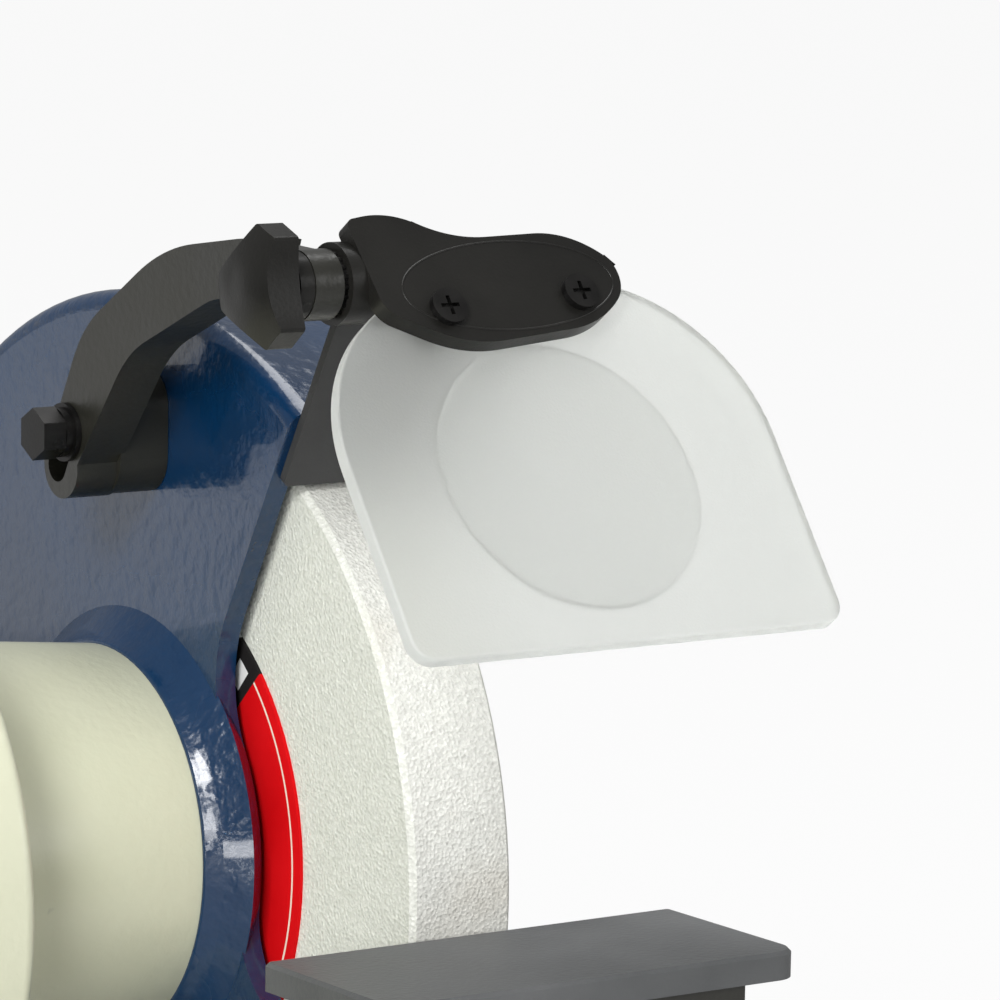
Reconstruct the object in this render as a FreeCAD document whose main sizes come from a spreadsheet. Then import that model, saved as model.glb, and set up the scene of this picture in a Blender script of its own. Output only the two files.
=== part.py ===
"""Bench grinder: a motor in a cast base, a grinding wheel at each end of its shaft, and over each wheel
a cast guard with a spark arrester, a tool rest and an eye shield on an arched bracket.

Millimetres. +X runs along the shaft to the operator's right, -Y faces the operator and +Z is up.
The origin is the centre of the four mounting bolts, on the surface that the rubber feet stand on.
"""

import FreeCAD
import Part
import math
import os
import re

import Sketcher

Vector = FreeCAD.Vector

# ---------------------------------------------------------------------------------------------------
# Driving dimensions. Names that start with a piece's name belong to that piece.
# ---------------------------------------------------------------------------------------------------

SIZES = {
    # fits
    "running_gap": 0.05,
    "seat_gap": 0.02,
    "slide_gap": 0.1,
    # wheel and what clamps it
    "wheel_radius": 101.6,
    "wheel_width": 25.4,
    "wheel_chamfer": 1.2,
    "wheel_face": 168,
    "label_radius": 59.5,
    "label_thickness": 0.8,
    "flange_radius": 38,
    "flange_hub_radius": 14,
    "flange_thickness": 4,
    "nut_flats": 24,
    "nut_height": 11,
    # shaft and motor
    "shaft_height": 160,
    "arbor_radius": 7.9375,
    "arbor_reach": 20.6,
    "journal_radius": 8.5,
    "shaft_radius": 11,
    "bearing_radius": 20,
    "bearing_width": 12,
    "ball_radius": 3.37,
    "motor_radius": 73.4,
    "shell_wall": 3,
    "shell_half": 80,
    "stator_half": 32,
    "stator_bore": 38,
    "air_gap": 0.4,
    "winding_length": 22,
    "through_bolt_inset": 9.4,
    "through_bolt_radius": 2.5,
    "bell_edge": 94.4,
    "neck_root_radius": 48.4,
    "neck_end_radius": 43.3,
    "neck_end": 152.7,
    "neck_wall": 4.3,
    "end_wall": 6.5,
    # guard
    "guard_radius": 121.3,
    "guard_wall": 5,
    "guard_face": 8,
    "guard_clearance": 10.6,
    "hub_face": 15.3,
    "hub_radius": 44,
    "hub_rim_radius": 47.5,
    "hub_bore": 40.5,
    "hub_web": 5,
    "hub_screw_circle": 28,
    "opening_lean": 118.7,
    "opening_set": 8.6,
    "opening_blend": 29,
    "opening_low": 215,
    "opening_low_set": 10,
    "opening_low_blend": 20,
    "cover_thickness": 2.5,
    "cover_dome_radius": 44,
    "cover_dome_depth": 14,
    "cover_screw_circle": 113,
    # spark arrester
    "arrester_thickness": 2,
    "arrester_foot": 103,
    "arrester_top": 146,
    "arrester_near": -5.9,
    "arrester_far": 34,
    "arrester_screw": 126,
    "arrester_travel": 12,
    # eye shield bracket
    "bracket_face": 30,
    "bracket_width": 11,
    "bracket_bolt_y": -9.4,
    "bracket_bolt_z": 92.7,
    "bracket_bolt_radius": 3,
    "bracket_bolt_flats": 10,
    "bracket_bolt_head": 5.5,
    "washer_radius": 6.4,
    "washer_thickness": 1.2,
    "spring_washer_radius": 5.4,
    "spring_washer_thickness": 1.8,
    "bracket_slot_lean": 118.7,
    "bracket_slot_width": 7.4,
    "bracket_rise": 8.5,
    "bracket_drop": 2.3,
    "pivot_y": -103.8,
    "pivot_z": 133.4,
    "pivot_boss_radius": 7.3,
    "pivot_boss_near": -32,
    "pivot_boss_far": -25.2,
    "pivot_clear_radius": 20,
    "stud_radius": 3,
    # knob, holder and shield
    "knob_face": -45.5,
    "knob_back": -36.7,
    "knob_reach": 12.8,
    "knob_tip": 3.5,
    "knob_turned": -9,
    "knob_dome": 30,
    "knob_hollow": 1,
    "knob_hollow_radius": 40,
    "knob_neck": 1.2,
    "knob_neck_radius": 5,
    "knob_flange_radius": 7.1,
    "ring_radius": 6.6,
    "ring_tooth": 0.6,
    "ring_thickness": 1.2,
    "holder_back": 4.6,
    "holder_front": 8.6,
    "hub_reach": 8.5,
    "shield_lean": 36,
    "shield_thickness": 3,
    "shield_centre": 14.9,
    "shield_half_width": 53.1,
    "shield_foot": -87.7,
    "shield_top": -4.1,
    "shield_crown": 39.6,
    "lens_radius": 30.4,
    "lens_drop": 48.6,
    "lens_thickness": 1.4,
    "lens_bevel": 0.6,
    "holder_screw_a": -4.8,
    "holder_screw_b": 28.7,
    # tool rest
    "rest_near": -38.9,
    "rest_far": 64.3,
    "rest_top": -5,
    "rest_thickness": 6,
    "rest_gap": 3.2,
    "rest_depth": 47,
    "rest_stud_y": -128,
    "rest_in": 1.2,
    "rest_out": 15,
    "rest_pivot_y": -75,
    "rest_pivot_z": -75,
    "shelf_far": 50,
    "shelf_thickness": 6,
    "strap_thickness": 6,
    "strap_eye": 13,
    "rest_bolt_radius": 4,
    "rest_bolt_flats": 13,
    "rest_bolt_head": 5.3,
    "rest_knob_radius": 12,
    "rest_knob_lobe": 3.2,
    "rest_knob_height": 11,
    # base
    "foot_height": 12,
    "foot_radius": 16,
    "base_length": 236,
    "base_depth": 190,
    "base_corner": 20,
    "bolt_spacing_long": 200,
    "bolt_spacing_deep": 154,
    "bolt_hole_radius": 4.25,
    "plate_thickness": 2,
    "base_flange": 10,
    "pedestal_length": 170,
    "pedestal_depth": 136,
    "saddle_length": 130,
    "saddle_depth": 112,
    "saddle_drop": 58,
    "base_wall": 5,
    "base_roof": 80,
    # switch and cord gland
    "switch_height": 58,
    "rocker_rest": 9,
    "gland_height": 50,
    "gland_bore": 4.2,
    "gland_barrel": 7.8,
    "gland_flats": 22,
    "gland_nut": 4,
    "gland_nose": 9,
    # start capacitor
    "capacitor_radius": 17,
    "capacitor_length": 60,
    "capacitor_y": 24,
}

doc = FreeCAD.newDocument("bench_grinder")
sheet = doc.addObject("Spreadsheet::Sheet", "Sizes")
for row, (alias, number) in enumerate(SIZES.items(), start=1):
    sheet.set("A%d" % row, alias)
    sheet.set("B%d" % row, str(number))
    sheet.setAlias("B%d" % row, alias)
doc.recompute()

NODES = {}
SIDES = {"right": 1, "left": -1}
WORD = re.compile(r"[a-z][a-z_]+")
AXIS_TURN = {"X": (Vector(0, 1, 0), 90), "Y": (Vector(1, 0, 0), -90), "Z": (Vector(0, 0, 1), 0)}


# ---------------------------------------------------------------------------------------------------
# Expressions, placements and primitives
# ---------------------------------------------------------------------------------------------------

def bound(text):
    """An expression over the sheet, from one that names only its aliases."""
    return WORD.sub(lambda m: "Sizes." + m.group(0) if m.group(0) in SIZES else m.group(0), str(text))


def value(text):
    return float(sheet.evalExpression(bound(text)))


def bind(obj, **sizes):
    for name, text in sizes.items():
        setattr(obj, name, value(text))
        obj.setExpression(name, bound(text))
    return obj


def place(obj, at=("0", "0", "0"), turn=None, axis=Vector(1, 0, 0)):
    """Puts obj at a point, turned by an angle (text) about an axis, and ties both to the sheet."""
    angle = value(turn) if turn is not None else 0
    obj.Placement = FreeCAD.Placement(Vector(*[value(c) for c in at]), FreeCAD.Rotation(axis, angle))
    for letter, text in zip("xyz", at):
        obj.setExpression("Placement.Base." + letter, bound(text))
    if turn is not None:
        obj.setExpression("Placement.Rotation.Angle", bound(turn))
    return obj


def along(obj, axis, at):
    direction, angle = AXIS_TURN[axis]
    return place(obj, at, str(angle), direction)


def primitive(kind, name, **sizes):
    return bind(doc.addObject("Part::" + kind, name), **sizes)


def cylinder(radius, length, at, axis="X", name="rod"):
    return along(primitive("Cylinder", name, Radius=radius, Height=length), axis, at)


def block(size, at, name="block"):
    return place(primitive("Box", name, Length=size[0], Width=size[1], Height=size[2]), at)


def hexagon(flats, length, at, axis="X", name="hexagon"):
    prism = primitive("Prism", name, Circumradius="(%s) / 2 / cos(30)" % flats, Height=length)
    prism.Polygon = 6
    return along(prism, axis, at)


def fused(*pieces, name="fusion"):
    whole = doc.addObject("Part::MultiFuse", name)
    whole.Shapes = list(pieces)
    return whole


def less(base, *tools, name="cut"):
    whole = doc.addObject("Part::Cut", name)
    whole.Base = base
    whole.Tool = tools[0] if len(tools) == 1 else fused(*tools, name=name + "_tools")
    return whole


def together(*pieces, name="set"):
    whole = doc.addObject("Part::Compound", name)
    whole.Links = list(pieces)
    return whole


def node(label, obj):
    obj.Label = label
    NODES[label] = obj
    return obj


def tied(side, text):
    """A distance outboard of the wheel's inner face, as a local X on that side."""
    return "%d * (%s)" % (side, text)


def outboard(side, text):
    """The same distance as an X of the whole grinder."""
    return "%d * (wheel_face + (%s))" % (side, text)


def up(text):
    """A height above the shaft's axis, as a Z of the whole grinder."""
    return "shaft_height + (%s)" % text


def span(side, near, far):
    """Start and length, along +X, of what reaches from near to far outboard."""
    start = near if side > 0 else "-(%s)" % far
    return start, "(%s) - (%s)" % (far, near)


def leaning(angle, reach, rise):
    """The Y and Z of a point reach along a line at that angle from +Y, and rise in front of it."""
    return (
        "(%s) * cos(%s) - (%s) * sin(%s)" % (reach, angle, rise, angle),
        "(%s) * sin(%s) + (%s) * cos(%s)" % (reach, angle, rise, angle),
    )


# ---------------------------------------------------------------------------------------------------
# Bodies: sketches, pads, pockets, revolutions and fillets
# ---------------------------------------------------------------------------------------------------

def body_at(label, at=("0", "0", "shaft_height"), turn=None):
    body = doc.addObject("PartDesign::Body", label)
    place(body, at, turn)
    return node(label, body)


def side_body(label, side, at=("0", "0"), turn=None):
    """A body whose origin is on the shaft's axis, at the inner face of that side's wheel."""
    return body_at(label, (outboard(side, "0"), at[0], up(at[1])), turn)


def sketch_on(body, plane, offset="0"):
    sketch = body.newObject("Sketcher::SketchObject", "outline")
    support = [f for f in body.Origin.OriginFeatures if f.Role == plane][0]
    sketch.AttachmentSupport = [(support, "")]
    sketch.MapMode = "FlatFace"
    sketch.AttachmentOffset = FreeCAD.Placement(Vector(0, 0, value(offset)), FreeCAD.Rotation())
    sketch.setExpression("AttachmentOffset.Base.z", bound(offset))
    return sketch


def constrain(sketch, kind, *facts):
    """Adds one constraint. A text as the last fact is an expression over the sheet."""
    if isinstance(facts[-1], str):
        index = sketch.addConstraint(Sketcher.Constraint(kind, *facts[:-1], value(facts[-1])))
        sketch.setExpression("Constraints[%d]" % index, bound(facts[-1]))
    else:
        sketch.addConstraint(Sketcher.Constraint(kind, *facts))


def pin(sketch, geometry, end, x, y):
    constrain(sketch, "DistanceX", geometry, end, str(x))
    constrain(sketch, "DistanceY", geometry, end, str(y))


def circle(sketch, x, y, radius):
    centre = Vector(value(x), value(y), 0)
    index = sketch.addGeometry(Part.Circle(centre, Vector(0, 0, 1), value(radius)))
    pin(sketch, index, 3, x, y)
    constrain(sketch, "Radius", index, str(radius))


def arc_between(centre, radius, first, last):
    """An arc, always drawn anticlockwise, and which of its ends touches first."""
    start = math.atan2(first.y - centre.y, first.x - centre.x)
    stop = math.atan2(last.y - centre.y, last.x - centre.x)
    forward = (stop - start) % (2 * math.pi) < math.pi
    if not forward:
        start, stop = stop, start
    ring = Part.Circle(centre, Vector(0, 0, 1), radius)
    return Part.ArcOfCircle(ring, start, start + (stop - start) % (2 * math.pi)), 1 if forward else 2


def loop(sketch, corners):
    """A closed outline of straight edges. A corner's third value rounds it to that radius."""
    count = len(corners)
    points = [Vector(value(c[0]), value(c[1]), 0) for c in corners]
    rounds = []
    for i, corner in enumerate(corners):
        back = (points[i - 1] - points[i]).normalize()
        ahead = (points[(i + 1) % count] - points[i]).normalize()
        radius = value(corner[2]) if len(corner) == 3 else 0
        half = back.getAngle(ahead) / 2
        rounds.append((back, ahead, radius, half, radius / math.tan(half)))
    edges = []
    for i in range(count):
        after = (i + 1) % count
        start = points[i] + rounds[i][1] * rounds[i][4]
        stop = points[after] + rounds[after][0] * rounds[after][4]
        edges.append(sketch.addGeometry(Part.LineSegment(start, stop)))
    for i, corner in enumerate(corners):
        before, after = edges[i - 1], edges[i]
        back, ahead, radius, half, trim = rounds[i]
        if not radius:
            constrain(sketch, "Coincident", before, 2, after, 1)
            pin(sketch, after, 1, corner[0], corner[1])
            continue
        centre = points[i] + (back + ahead).normalize() * (radius / math.sin(half))
        arc, near_end = arc_between(centre, radius, points[i] + back * trim, points[i] + ahead * trim)
        index = sketch.addGeometry(arc)
        mark = sketch.addGeometry(Part.Point(points[i]), True)
        constrain(sketch, "Tangent", before, 2, index, near_end)
        constrain(sketch, "Tangent", after, 1, index, 3 - near_end)
        constrain(sketch, "Radius", index, corner[2])
        constrain(sketch, "PointOnObject", mark, 1, before)
        constrain(sketch, "PointOnObject", mark, 1, after)
        pin(sketch, mark, 1, corner[0], corner[1])


def obround(sketch, first, last, radius):
    """A slot's outline between two centres."""
    a = Vector(value(first[0]), value(first[1]), 0)
    b = Vector(value(last[0]), value(last[1]), 0)
    r = value(radius)
    aside = (b - a).normalize().cross(Vector(0, 0, 1)) * r
    turn = math.atan2(aside.y, aside.x)
    ring_a = Part.Circle(a, Vector(0, 0, 1), r)
    ring_b = Part.Circle(b, Vector(0, 0, 1), r)
    right = sketch.addGeometry(Part.LineSegment(a + aside, b + aside))
    left = sketch.addGeometry(Part.LineSegment(b - aside, a - aside))
    cap = sketch.addGeometry(Part.ArcOfCircle(ring_b, turn, turn + math.pi))
    foot = sketch.addGeometry(Part.ArcOfCircle(ring_a, turn + math.pi, turn + 2 * math.pi))
    constrain(sketch, "Tangent", right, 2, cap, 1)
    constrain(sketch, "Tangent", cap, 2, left, 1)
    constrain(sketch, "Tangent", left, 2, foot, 1)
    constrain(sketch, "Tangent", foot, 2, right, 1)
    constrain(sketch, "Equal", cap, foot)
    constrain(sketch, "Radius", cap, str(radius))
    pin(sketch, cap, 3, *last)
    pin(sketch, foot, 3, *first)


def pad(body, sketch, length):
    feature = body.newObject("PartDesign::Pad", "pad")
    feature.Profile = sketch
    bind(feature, Length=length)
    doc.recompute()
    return feature


def cut_feature(body, feature):
    """Recomputes, and stops the build if the feature took nothing away."""
    before = body.BaseFeature.Shape.Volume if body.BaseFeature else feature.BaseFeature.Shape.Volume
    doc.recompute()
    if not feature.Shape.Volume < before:
        raise ValueError("%s: %s removed nothing" % (body.Label, feature.Name))
    return feature


def pocket(body, sketch, length=None):
    """Cuts along the sketch plane's own direction, or right through both ways without a length."""
    feature = body.newObject("PartDesign::Pocket", "pocket")
    feature.Profile = sketch
    if length is None:
        feature.Type = "ThroughAll"
        feature.SideType = "Symmetric"
    else:
        feature.Reversed = True
        bind(feature, Length=length)
    return cut_feature(body, feature)


def turned(body, corners):
    """Turns a profile of X and radius about the shaft's axis, or about the body's own X."""
    sketch = sketch_on(body, "XZ_Plane")
    loop(sketch, corners)
    feature = body.newObject("PartDesign::Revolution", "turned")
    feature.Profile = sketch
    feature.ReferenceAxis = (sketch, ["H_Axis"])
    feature.Angle = 360
    doc.recompute()
    return feature


def soften(body, radius, chosen, kind="Fillet"):
    """Rounds or chamfers the tip's edges that chosen() picks by their bounding box."""
    tip = body.Tip
    names = ["Edge%d" % (i + 1) for i, e in enumerate(tip.Shape.Edges) if chosen(e.BoundBox, e)]
    if not names:
        raise ValueError("%s: no edge to soften" % body.Label)
    feature = body.newObject("PartDesign::" + kind, kind.lower())
    feature.Base = (tip, names)
    bind(feature, **({"Radius": radius} if kind == "Fillet" else {"Size": radius}))
    doc.recompute()
    return feature


def flat_at(letter, text):
    """Picks the edges that lie at one level of one axis, in the body's own frame."""
    level = value(text)

    def chosen(box, edge):
        low, high = getattr(box, letter + "Min"), getattr(box, letter + "Max")
        return abs(low - level) < 0.01 and abs(high - level) < 0.01
    return chosen


# ---------------------------------------------------------------------------------------------------
# Base: feet, bottom plate, casting, switch and cord gland
# ---------------------------------------------------------------------------------------------------

BOLT_CORNERS = [(x, y) for x in (-1, 1) for y in (-1, 1)]


def bolt_circles(sketch, radius):
    for x, y in BOLT_CORNERS:
        circle(sketch, "%d * bolt_spacing_long / 2" % x, "%d * bolt_spacing_deep / 2" % y, radius)


def rectangle(length, depth, corner=None):
    tail = () if corner is None else (corner,)
    return [
        ("%d * (%s) / 2" % (x, length), "%d * (%s) / 2" % (y, depth)) + tail
        for x, y in ((-1, -1), (1, -1), (1, 1), (-1, 1))
    ]


def make_rubber_feet():
    feet = []
    for x, y in BOLT_CORNERS:
        at = ("%d * bolt_spacing_long / 2" % x, "%d * bolt_spacing_deep / 2" % y)
        size = {"Radius1": "foot_radius", "Radius2": "foot_radius - 2", "Height": "foot_height"}
        body = primitive("Cone", "foot", **size)
        place(body, at + ("0",))
        hole = cylinder("bolt_hole_radius", "foot_height + 2", at + ("-1",), "Z")
        feet.append(less(body, hole))
    node("rubber_feet", together(*feet))


def make_base_plate():
    body = body_at("base_plate", ("0", "0", "foot_height"))
    sketch = sketch_on(body, "XY_Plane")
    loop(sketch, rectangle("base_length - 4", "base_depth - 4", "base_corner - 2"))
    pad(body, sketch, "plate_thickness")
    holes = sketch_on(body, "XY_Plane")
    bolt_circles(holes, "bolt_hole_radius")
    for x in (-1, 1):
        circle(holes, "%d * (pedestal_length / 2 + 6)" % x, "0", "2.1")
    pocket(body, holes)


def make_base_plate_screws():
    screws = []
    for x in (-1, 1):
        at = "%d * (pedestal_length / 2 + 6)" % x
        shank = cylinder("2", "8 + plate_thickness", (at, "0", "foot_height"), "Z")
        head = cylinder("4", "2.4", (at, "0", "foot_height - 2.4"), "Z")
        screws.append(fused(shank, head))
    node("base_plate_screws", together(*screws))


def pedestal_size(face, height):
    """The pedestal's length or depth at a height, from its foot to its saddle."""
    foot, top = ("pedestal_" + face, "saddle_" + face)
    low = "(foot_height + plate_thickness + base_flange)"
    rise = "(shaft_height - saddle_drop - %s)" % low
    return "%s + (%s - %s) * ((%s) - %s) / %s" % (foot, top, foot, height, low, rise)


def make_base_casting():
    body = body_at("base_casting", ("0", "0", "foot_height + plate_thickness"))
    flange = sketch_on(body, "XY_Plane")
    loop(flange, rectangle("base_length", "base_depth", "base_corner"))
    pad(body, flange, "base_flange")
    soften(body, "3", flat_at("Z", "base_flange"))
    level = "shaft_height - saddle_drop - foot_height - plate_thickness"
    foot = sketch_on(body, "XY_Plane", "base_flange")
    loop(foot, rectangle("pedestal_length", "pedestal_depth", "base_corner"))
    top = sketch_on(body, "XY_Plane", level)
    loop(top, rectangle("saddle_length", "saddle_depth", "base_corner - 4"))
    rise = body.newObject("PartDesign::AdditiveLoft", "pedestal")
    rise.Profile = foot
    rise.Sections = [top]
    rise.Ruled = True
    doc.recompute()
    mouth = sketch_on(body, "XY_Plane")
    mouth_size = ("pedestal_length - 2 * base_wall", "pedestal_depth - 2 * base_wall")
    loop(mouth, rectangle(*mouth_size, "base_corner - base_wall"))
    roof = sketch_on(body, "XY_Plane", "base_roof - foot_height - plate_thickness")
    inner = [pedestal_size(face, "base_roof") + " - 2 * base_wall" for face in ("length", "depth")]
    loop(roof, rectangle(inner[0], inner[1], "base_corner - 9"))
    hollow = body.newObject("PartDesign::SubtractiveLoft", "hollow")
    hollow.Profile = mouth
    hollow.Sections = [roof]
    hollow.Ruled = True
    cut_feature(body, hollow)
    saddle = sketch_on(body, "YZ_Plane")
    circle(saddle, "0", "shaft_height - foot_height - plate_thickness", "motor_radius + running_gap")
    pocket(body, saddle)
    holes = sketch_on(body, "XY_Plane")
    bolt_circles(holes, "bolt_hole_radius")
    pocket(body, holes)
    screw_holes = sketch_on(body, "XY_Plane")
    for x in (-1, 1):
        circle(screw_holes, "%d * (pedestal_length / 2 + 6)" % x, "0", "2.05")
    pocket(body, screw_holes, "8.2")
    switch_hole = sketch_on(body, "XZ_Plane")
    middle = "switch_height - foot_height - plate_thickness"
    around = ((-1, -1), (1, -1), (1, 1), (-1, 1))
    loop(switch_hole, [("%d * 13.5" % x, "%s + %d * 19" % (middle, z), "2") for x, z in around])
    pocket(body, switch_hole, "base_depth")
    gland_hole = sketch_on(body, "XZ_Plane", "-base_depth")
    circle(gland_hole, "0", "gland_height - foot_height - plate_thickness", "8.8")
    pocket(body, gland_hole, "base_depth")
    return body


PEDESTAL_RISE = "(shaft_height - saddle_drop - foot_height - plate_thickness - base_flange)"
PEDESTAL_LEAN = "atan((pedestal_depth - saddle_depth) / 2 / %s) / 1deg" % PEDESTAL_RISE


def face_frame(obj, height, front=True):
    """Puts obj on the pedestal's front or back face, with its own Z pointing out of the face."""
    reach = "(%s) / 2" % pedestal_size("depth", height)
    if front:
        return place(obj, ("0", "-(%s)" % reach, height), "90 - %s" % PEDESTAL_LEAN)
    return place(obj, ("0", reach, height), "%s - 90" % PEDESTAL_LEAN)


def make_switch():
    plate = block(("46", "66", "2.5"), ("-23", "-33", "0"))
    case = block(("24", "34", "26"), ("-12", "-17", "-26"))
    cavity = block(("18", "28.8", "16"), ("-9", "-14.4", "-12"))
    pin_hole = cylinder("1.5 + running_gap", "21.4", ("-10.7", "0", "0"))
    housing = less(fused(plate, case), cavity, pin_hole)
    clearance = [cylinder("1.62", "3", ("0", "%d * 26" % y, "-0.2"), "Z") for y in (-1, 1)]
    node("switch_housing", face_frame(less(housing, *clearance), "switch_height"))
    screws = [fused(cylinder("3.2", "2", ("0", "%d * 26" % y, "2.5"), "Z"),
                    cylinder("1.6", "2.5", ("0", "%d * 26" % y, "0.02"), "Z")) for y in (-1, 1)]
    slots = [block(("0.9", "5", "1.2"), ("-0.45", "%d * 26 - 2.5" % y, "3.6")) for y in (-1, 1)]
    screws = [less(screw_body, slot) for screw_body, slot in zip(screws, slots)]
    node("switch_plate_screws", face_frame(together(*screws), "switch_height"))


def make_rocker():
    """Two faces that meet over the pivot. At rest the lower end stands out, which is off."""
    body = body_at("switch_rocker")
    lean = "rocker_rest"
    sketch = sketch_on(body, "YZ_Plane", "-8.5")
    underside = [("-12", "1.6"), ("-5", "-4"), ("5", "-4"), ("12", "1.6")]
    face = underside + [("12", "5.2"), ("0", "3.4"), ("-12", "5.2")]
    loop(sketch, face)
    pad(body, sketch, "17")
    soften(body, "0.8", lambda box, edge: box.XLength < 0.01 and box.ZMin > 1.7)
    pin = sketch_on(body, "YZ_Plane", "-10.5")
    circle(pin, "0", "0", "1.5")
    pad(body, pin, "21")
    reach = "(%s) / 2" % pedestal_size("depth", "switch_height")
    place(body, ("0", "-(%s)" % reach, "switch_height"), "90 - %s - %s" % (PEDESTAL_LEAN, lean))


def make_cord_gland():
    """A threaded barrel through the back wall, with a nut on each side of it."""
    collar = hexagon("gland_flats", "gland_nut", ("0", "0", "0.02"), "Z")
    barrel = cylinder("gland_barrel", "12", ("0", "0", "-11"), "Z")
    nut = hexagon("gland_flats", "gland_nut", ("0", "0", "-base_wall * 1.1 - 0.8 - gland_nut"), "Z")
    nose = cylinder("gland_barrel + 0.2", "gland_nose", ("0", "0", "gland_nut"), "Z")
    bore = cylinder("gland_bore", "40", ("0", "0", "-20"), "Z")
    gland = less(fused(collar, barrel, nut, nose), bore)
    node("cord_gland", face_frame(gland, "gland_height", front=False))


def make_start_capacitor():
    """A can that lies on the bottom plate, with two flat terminals at its end."""
    floor = "foot_height + plate_thickness + capacitor_radius"
    can_at = ("-capacitor_length / 2", "capacitor_y", floor + " + 0.1")
    can = cylinder("capacitor_radius", "capacitor_length", can_at)
    tags = []
    for y in (-7, 6):
        tag_at = ("capacitor_length / 2", "%d + capacitor_y" % y, floor + " - 3")
        tags.append(block(("6", "1", "6"), tag_at, "tag"))
    node("start_capacitor", fused(can, *tags))


# ---------------------------------------------------------------------------------------------------
# Motor
# ---------------------------------------------------------------------------------------------------

def make_motor_shell():
    outer = cylinder("motor_radius", "2 * shell_half", ("-shell_half", "0", "shaft_height"))
    inside = ("-shell_half - 1", "0", "shaft_height")
    inner = cylinder("motor_radius - shell_wall", "2 * shell_half + 2", inside)
    node("motor_shell", less(outer, inner))


BOLT_CIRCLE = "(motor_radius - through_bolt_inset)"


def through_bolt_circles(sketch, radius):
    for y, z in BOLT_CORNERS:
        circle(sketch, "%d * %s * cos(45)" % (y, BOLT_CIRCLE), "%d * %s * sin(45)" % (z, BOLT_CIRCLE), radius)


def make_end_bell(name, side):
    body = body_at("end_bell_" + name)
    inner = "motor_radius - shell_wall"
    profile = [
        ("shell_half", "motor_radius"),
        ("bell_edge", "motor_radius", "3"),
        ("bell_edge + 3.2", "neck_root_radius", "7"),
        ("neck_end", "neck_end_radius"),
        ("neck_end", "shaft_radius + 1"),
        ("neck_end - end_wall", "shaft_radius + 1"),
        ("neck_end - end_wall", "bearing_radius + running_gap"),
        ("neck_end - end_wall - bearing_width - 0.5", "bearing_radius + running_gap"),
        ("neck_end - end_wall - bearing_width - 0.5", "bearing_radius + 5"),
        ("neck_end - end_wall", "bearing_radius + 5"),
        ("neck_end - end_wall", "neck_end_radius - neck_wall"),
        ("bell_edge + 3.2", "neck_root_radius - neck_wall"),
        ("bell_edge - 5", "%s - 4" % inner),
        ("shell_half - 6", "%s - 4" % inner),
        ("shell_half - 6", "%s - running_gap" % inner),
        ("shell_half", "%s - running_gap" % inner),
    ]
    turned(body, [(tied(side, c[0]),) + c[1:] for c in profile])
    holes = sketch_on(body, "YZ_Plane")
    through_bolt_circles(holes, "through_bolt_radius + 0.3")
    pocket(body, holes)
    seats_start, seats_length = span(side, "bell_edge - 1", "bell_edge + 20")
    seats = sketch_on(body, "YZ_Plane", seats_start)
    through_bolt_circles(seats, "5.4")
    pocket(body, seats, seats_length)
    threads_start, threads_length = span(side, "neck_end - end_wall - 1", "neck_end + 1")
    threads = sketch_on(body, "YZ_Plane", threads_start)
    hub_screw_circles(threads, "3.02")
    pocket(body, threads, threads_length)


def hub_screw_circles(sketch, radius):
    for angle in (90, 210, 330):
        circle(sketch, "hub_screw_circle * cos(%d)" % angle, "hub_screw_circle * sin(%d)" % angle, radius)


def make_through_bolts():
    bolts = []
    seat = "bell_edge - 1"
    for y, z in BOLT_CORNERS:
        at = ("%d * %s * cos(45)" % (y, BOLT_CIRCLE), up("%d * %s * sin(45)" % (z, BOLT_CIRCLE)))
        rod = cylinder("through_bolt_radius", "2 * (%s)" % seat, ("-(%s)" % seat,) + at)
        head = hexagon("8", "3.5", (seat,) + at)
        nut = hexagon("8", "4", ("-(%s) - 4" % seat,) + at)
        bolts.append(fused(rod, head, nut))
    node("through_bolts", together(*bolts))


def make_stator():
    body = body_at("stator_core")
    sketch = sketch_on(body, "YZ_Plane", "-stator_half")
    circle(sketch, "0", "0", "motor_radius - shell_wall - slide_gap")
    circle(sketch, "0", "0", "stator_bore")
    pad(body, sketch, "2 * stator_half")
    holes = sketch_on(body, "YZ_Plane")
    through_bolt_circles(holes, "through_bolt_radius + 0.3")
    pocket(body, holes)
    rings = []
    for side in SIDES.values():
        start, length = span(side, "stator_half", "stator_half + winding_length")
        outer = cylinder("%s - 5" % BOLT_CIRCLE, length, (start, "0", "shaft_height"))
        inner = cylinder("stator_bore + 5", length, (start, "0", "shaft_height"))
        ring = less(outer, inner)
        rings.append(ring)
    node("stator_windings", together(*rings))


def make_bearing(name, side):
    near = "neck_end - end_wall - bearing_width"
    start, length = span(side, near, "neck_end - end_wall")
    axis = ("0", "shaft_height")
    middle = "%d * (%s + bearing_width / 2)" % (side, near)
    pitch = "(bearing_radius + journal_radius) / 2"
    race = primitive("Torus", "race", Radius1=pitch, Radius2="ball_radius + running_gap")
    along(race, "X", (middle,) + axis)
    outer = less(cylinder("bearing_radius", length, (start,) + axis),
                 cylinder("bearing_radius - 3.2", length, (start,) + axis), race)
    inner = less(cylinder("journal_radius + 3.2", length, (start,) + axis),
                 cylinder("journal_radius + seat_gap", length, (start,) + axis), race)
    balls = []
    for step in range(8):
        ball = primitive("Sphere", "ball", Radius="ball_radius")
        place(ball, (middle, "%s * cos(%d)" % (pitch, 45 * step), up("%s * sin(%d)" % (pitch, 45 * step))))
        balls.append(ball)
    node("bearing_" + name, together(outer, inner, *balls))


# ---------------------------------------------------------------------------------------------------
# Shaft, rotor, wheels and what clamps them
# ---------------------------------------------------------------------------------------------------

SHOULDER = "-label_thickness - flange_thickness - 4.2"


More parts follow.
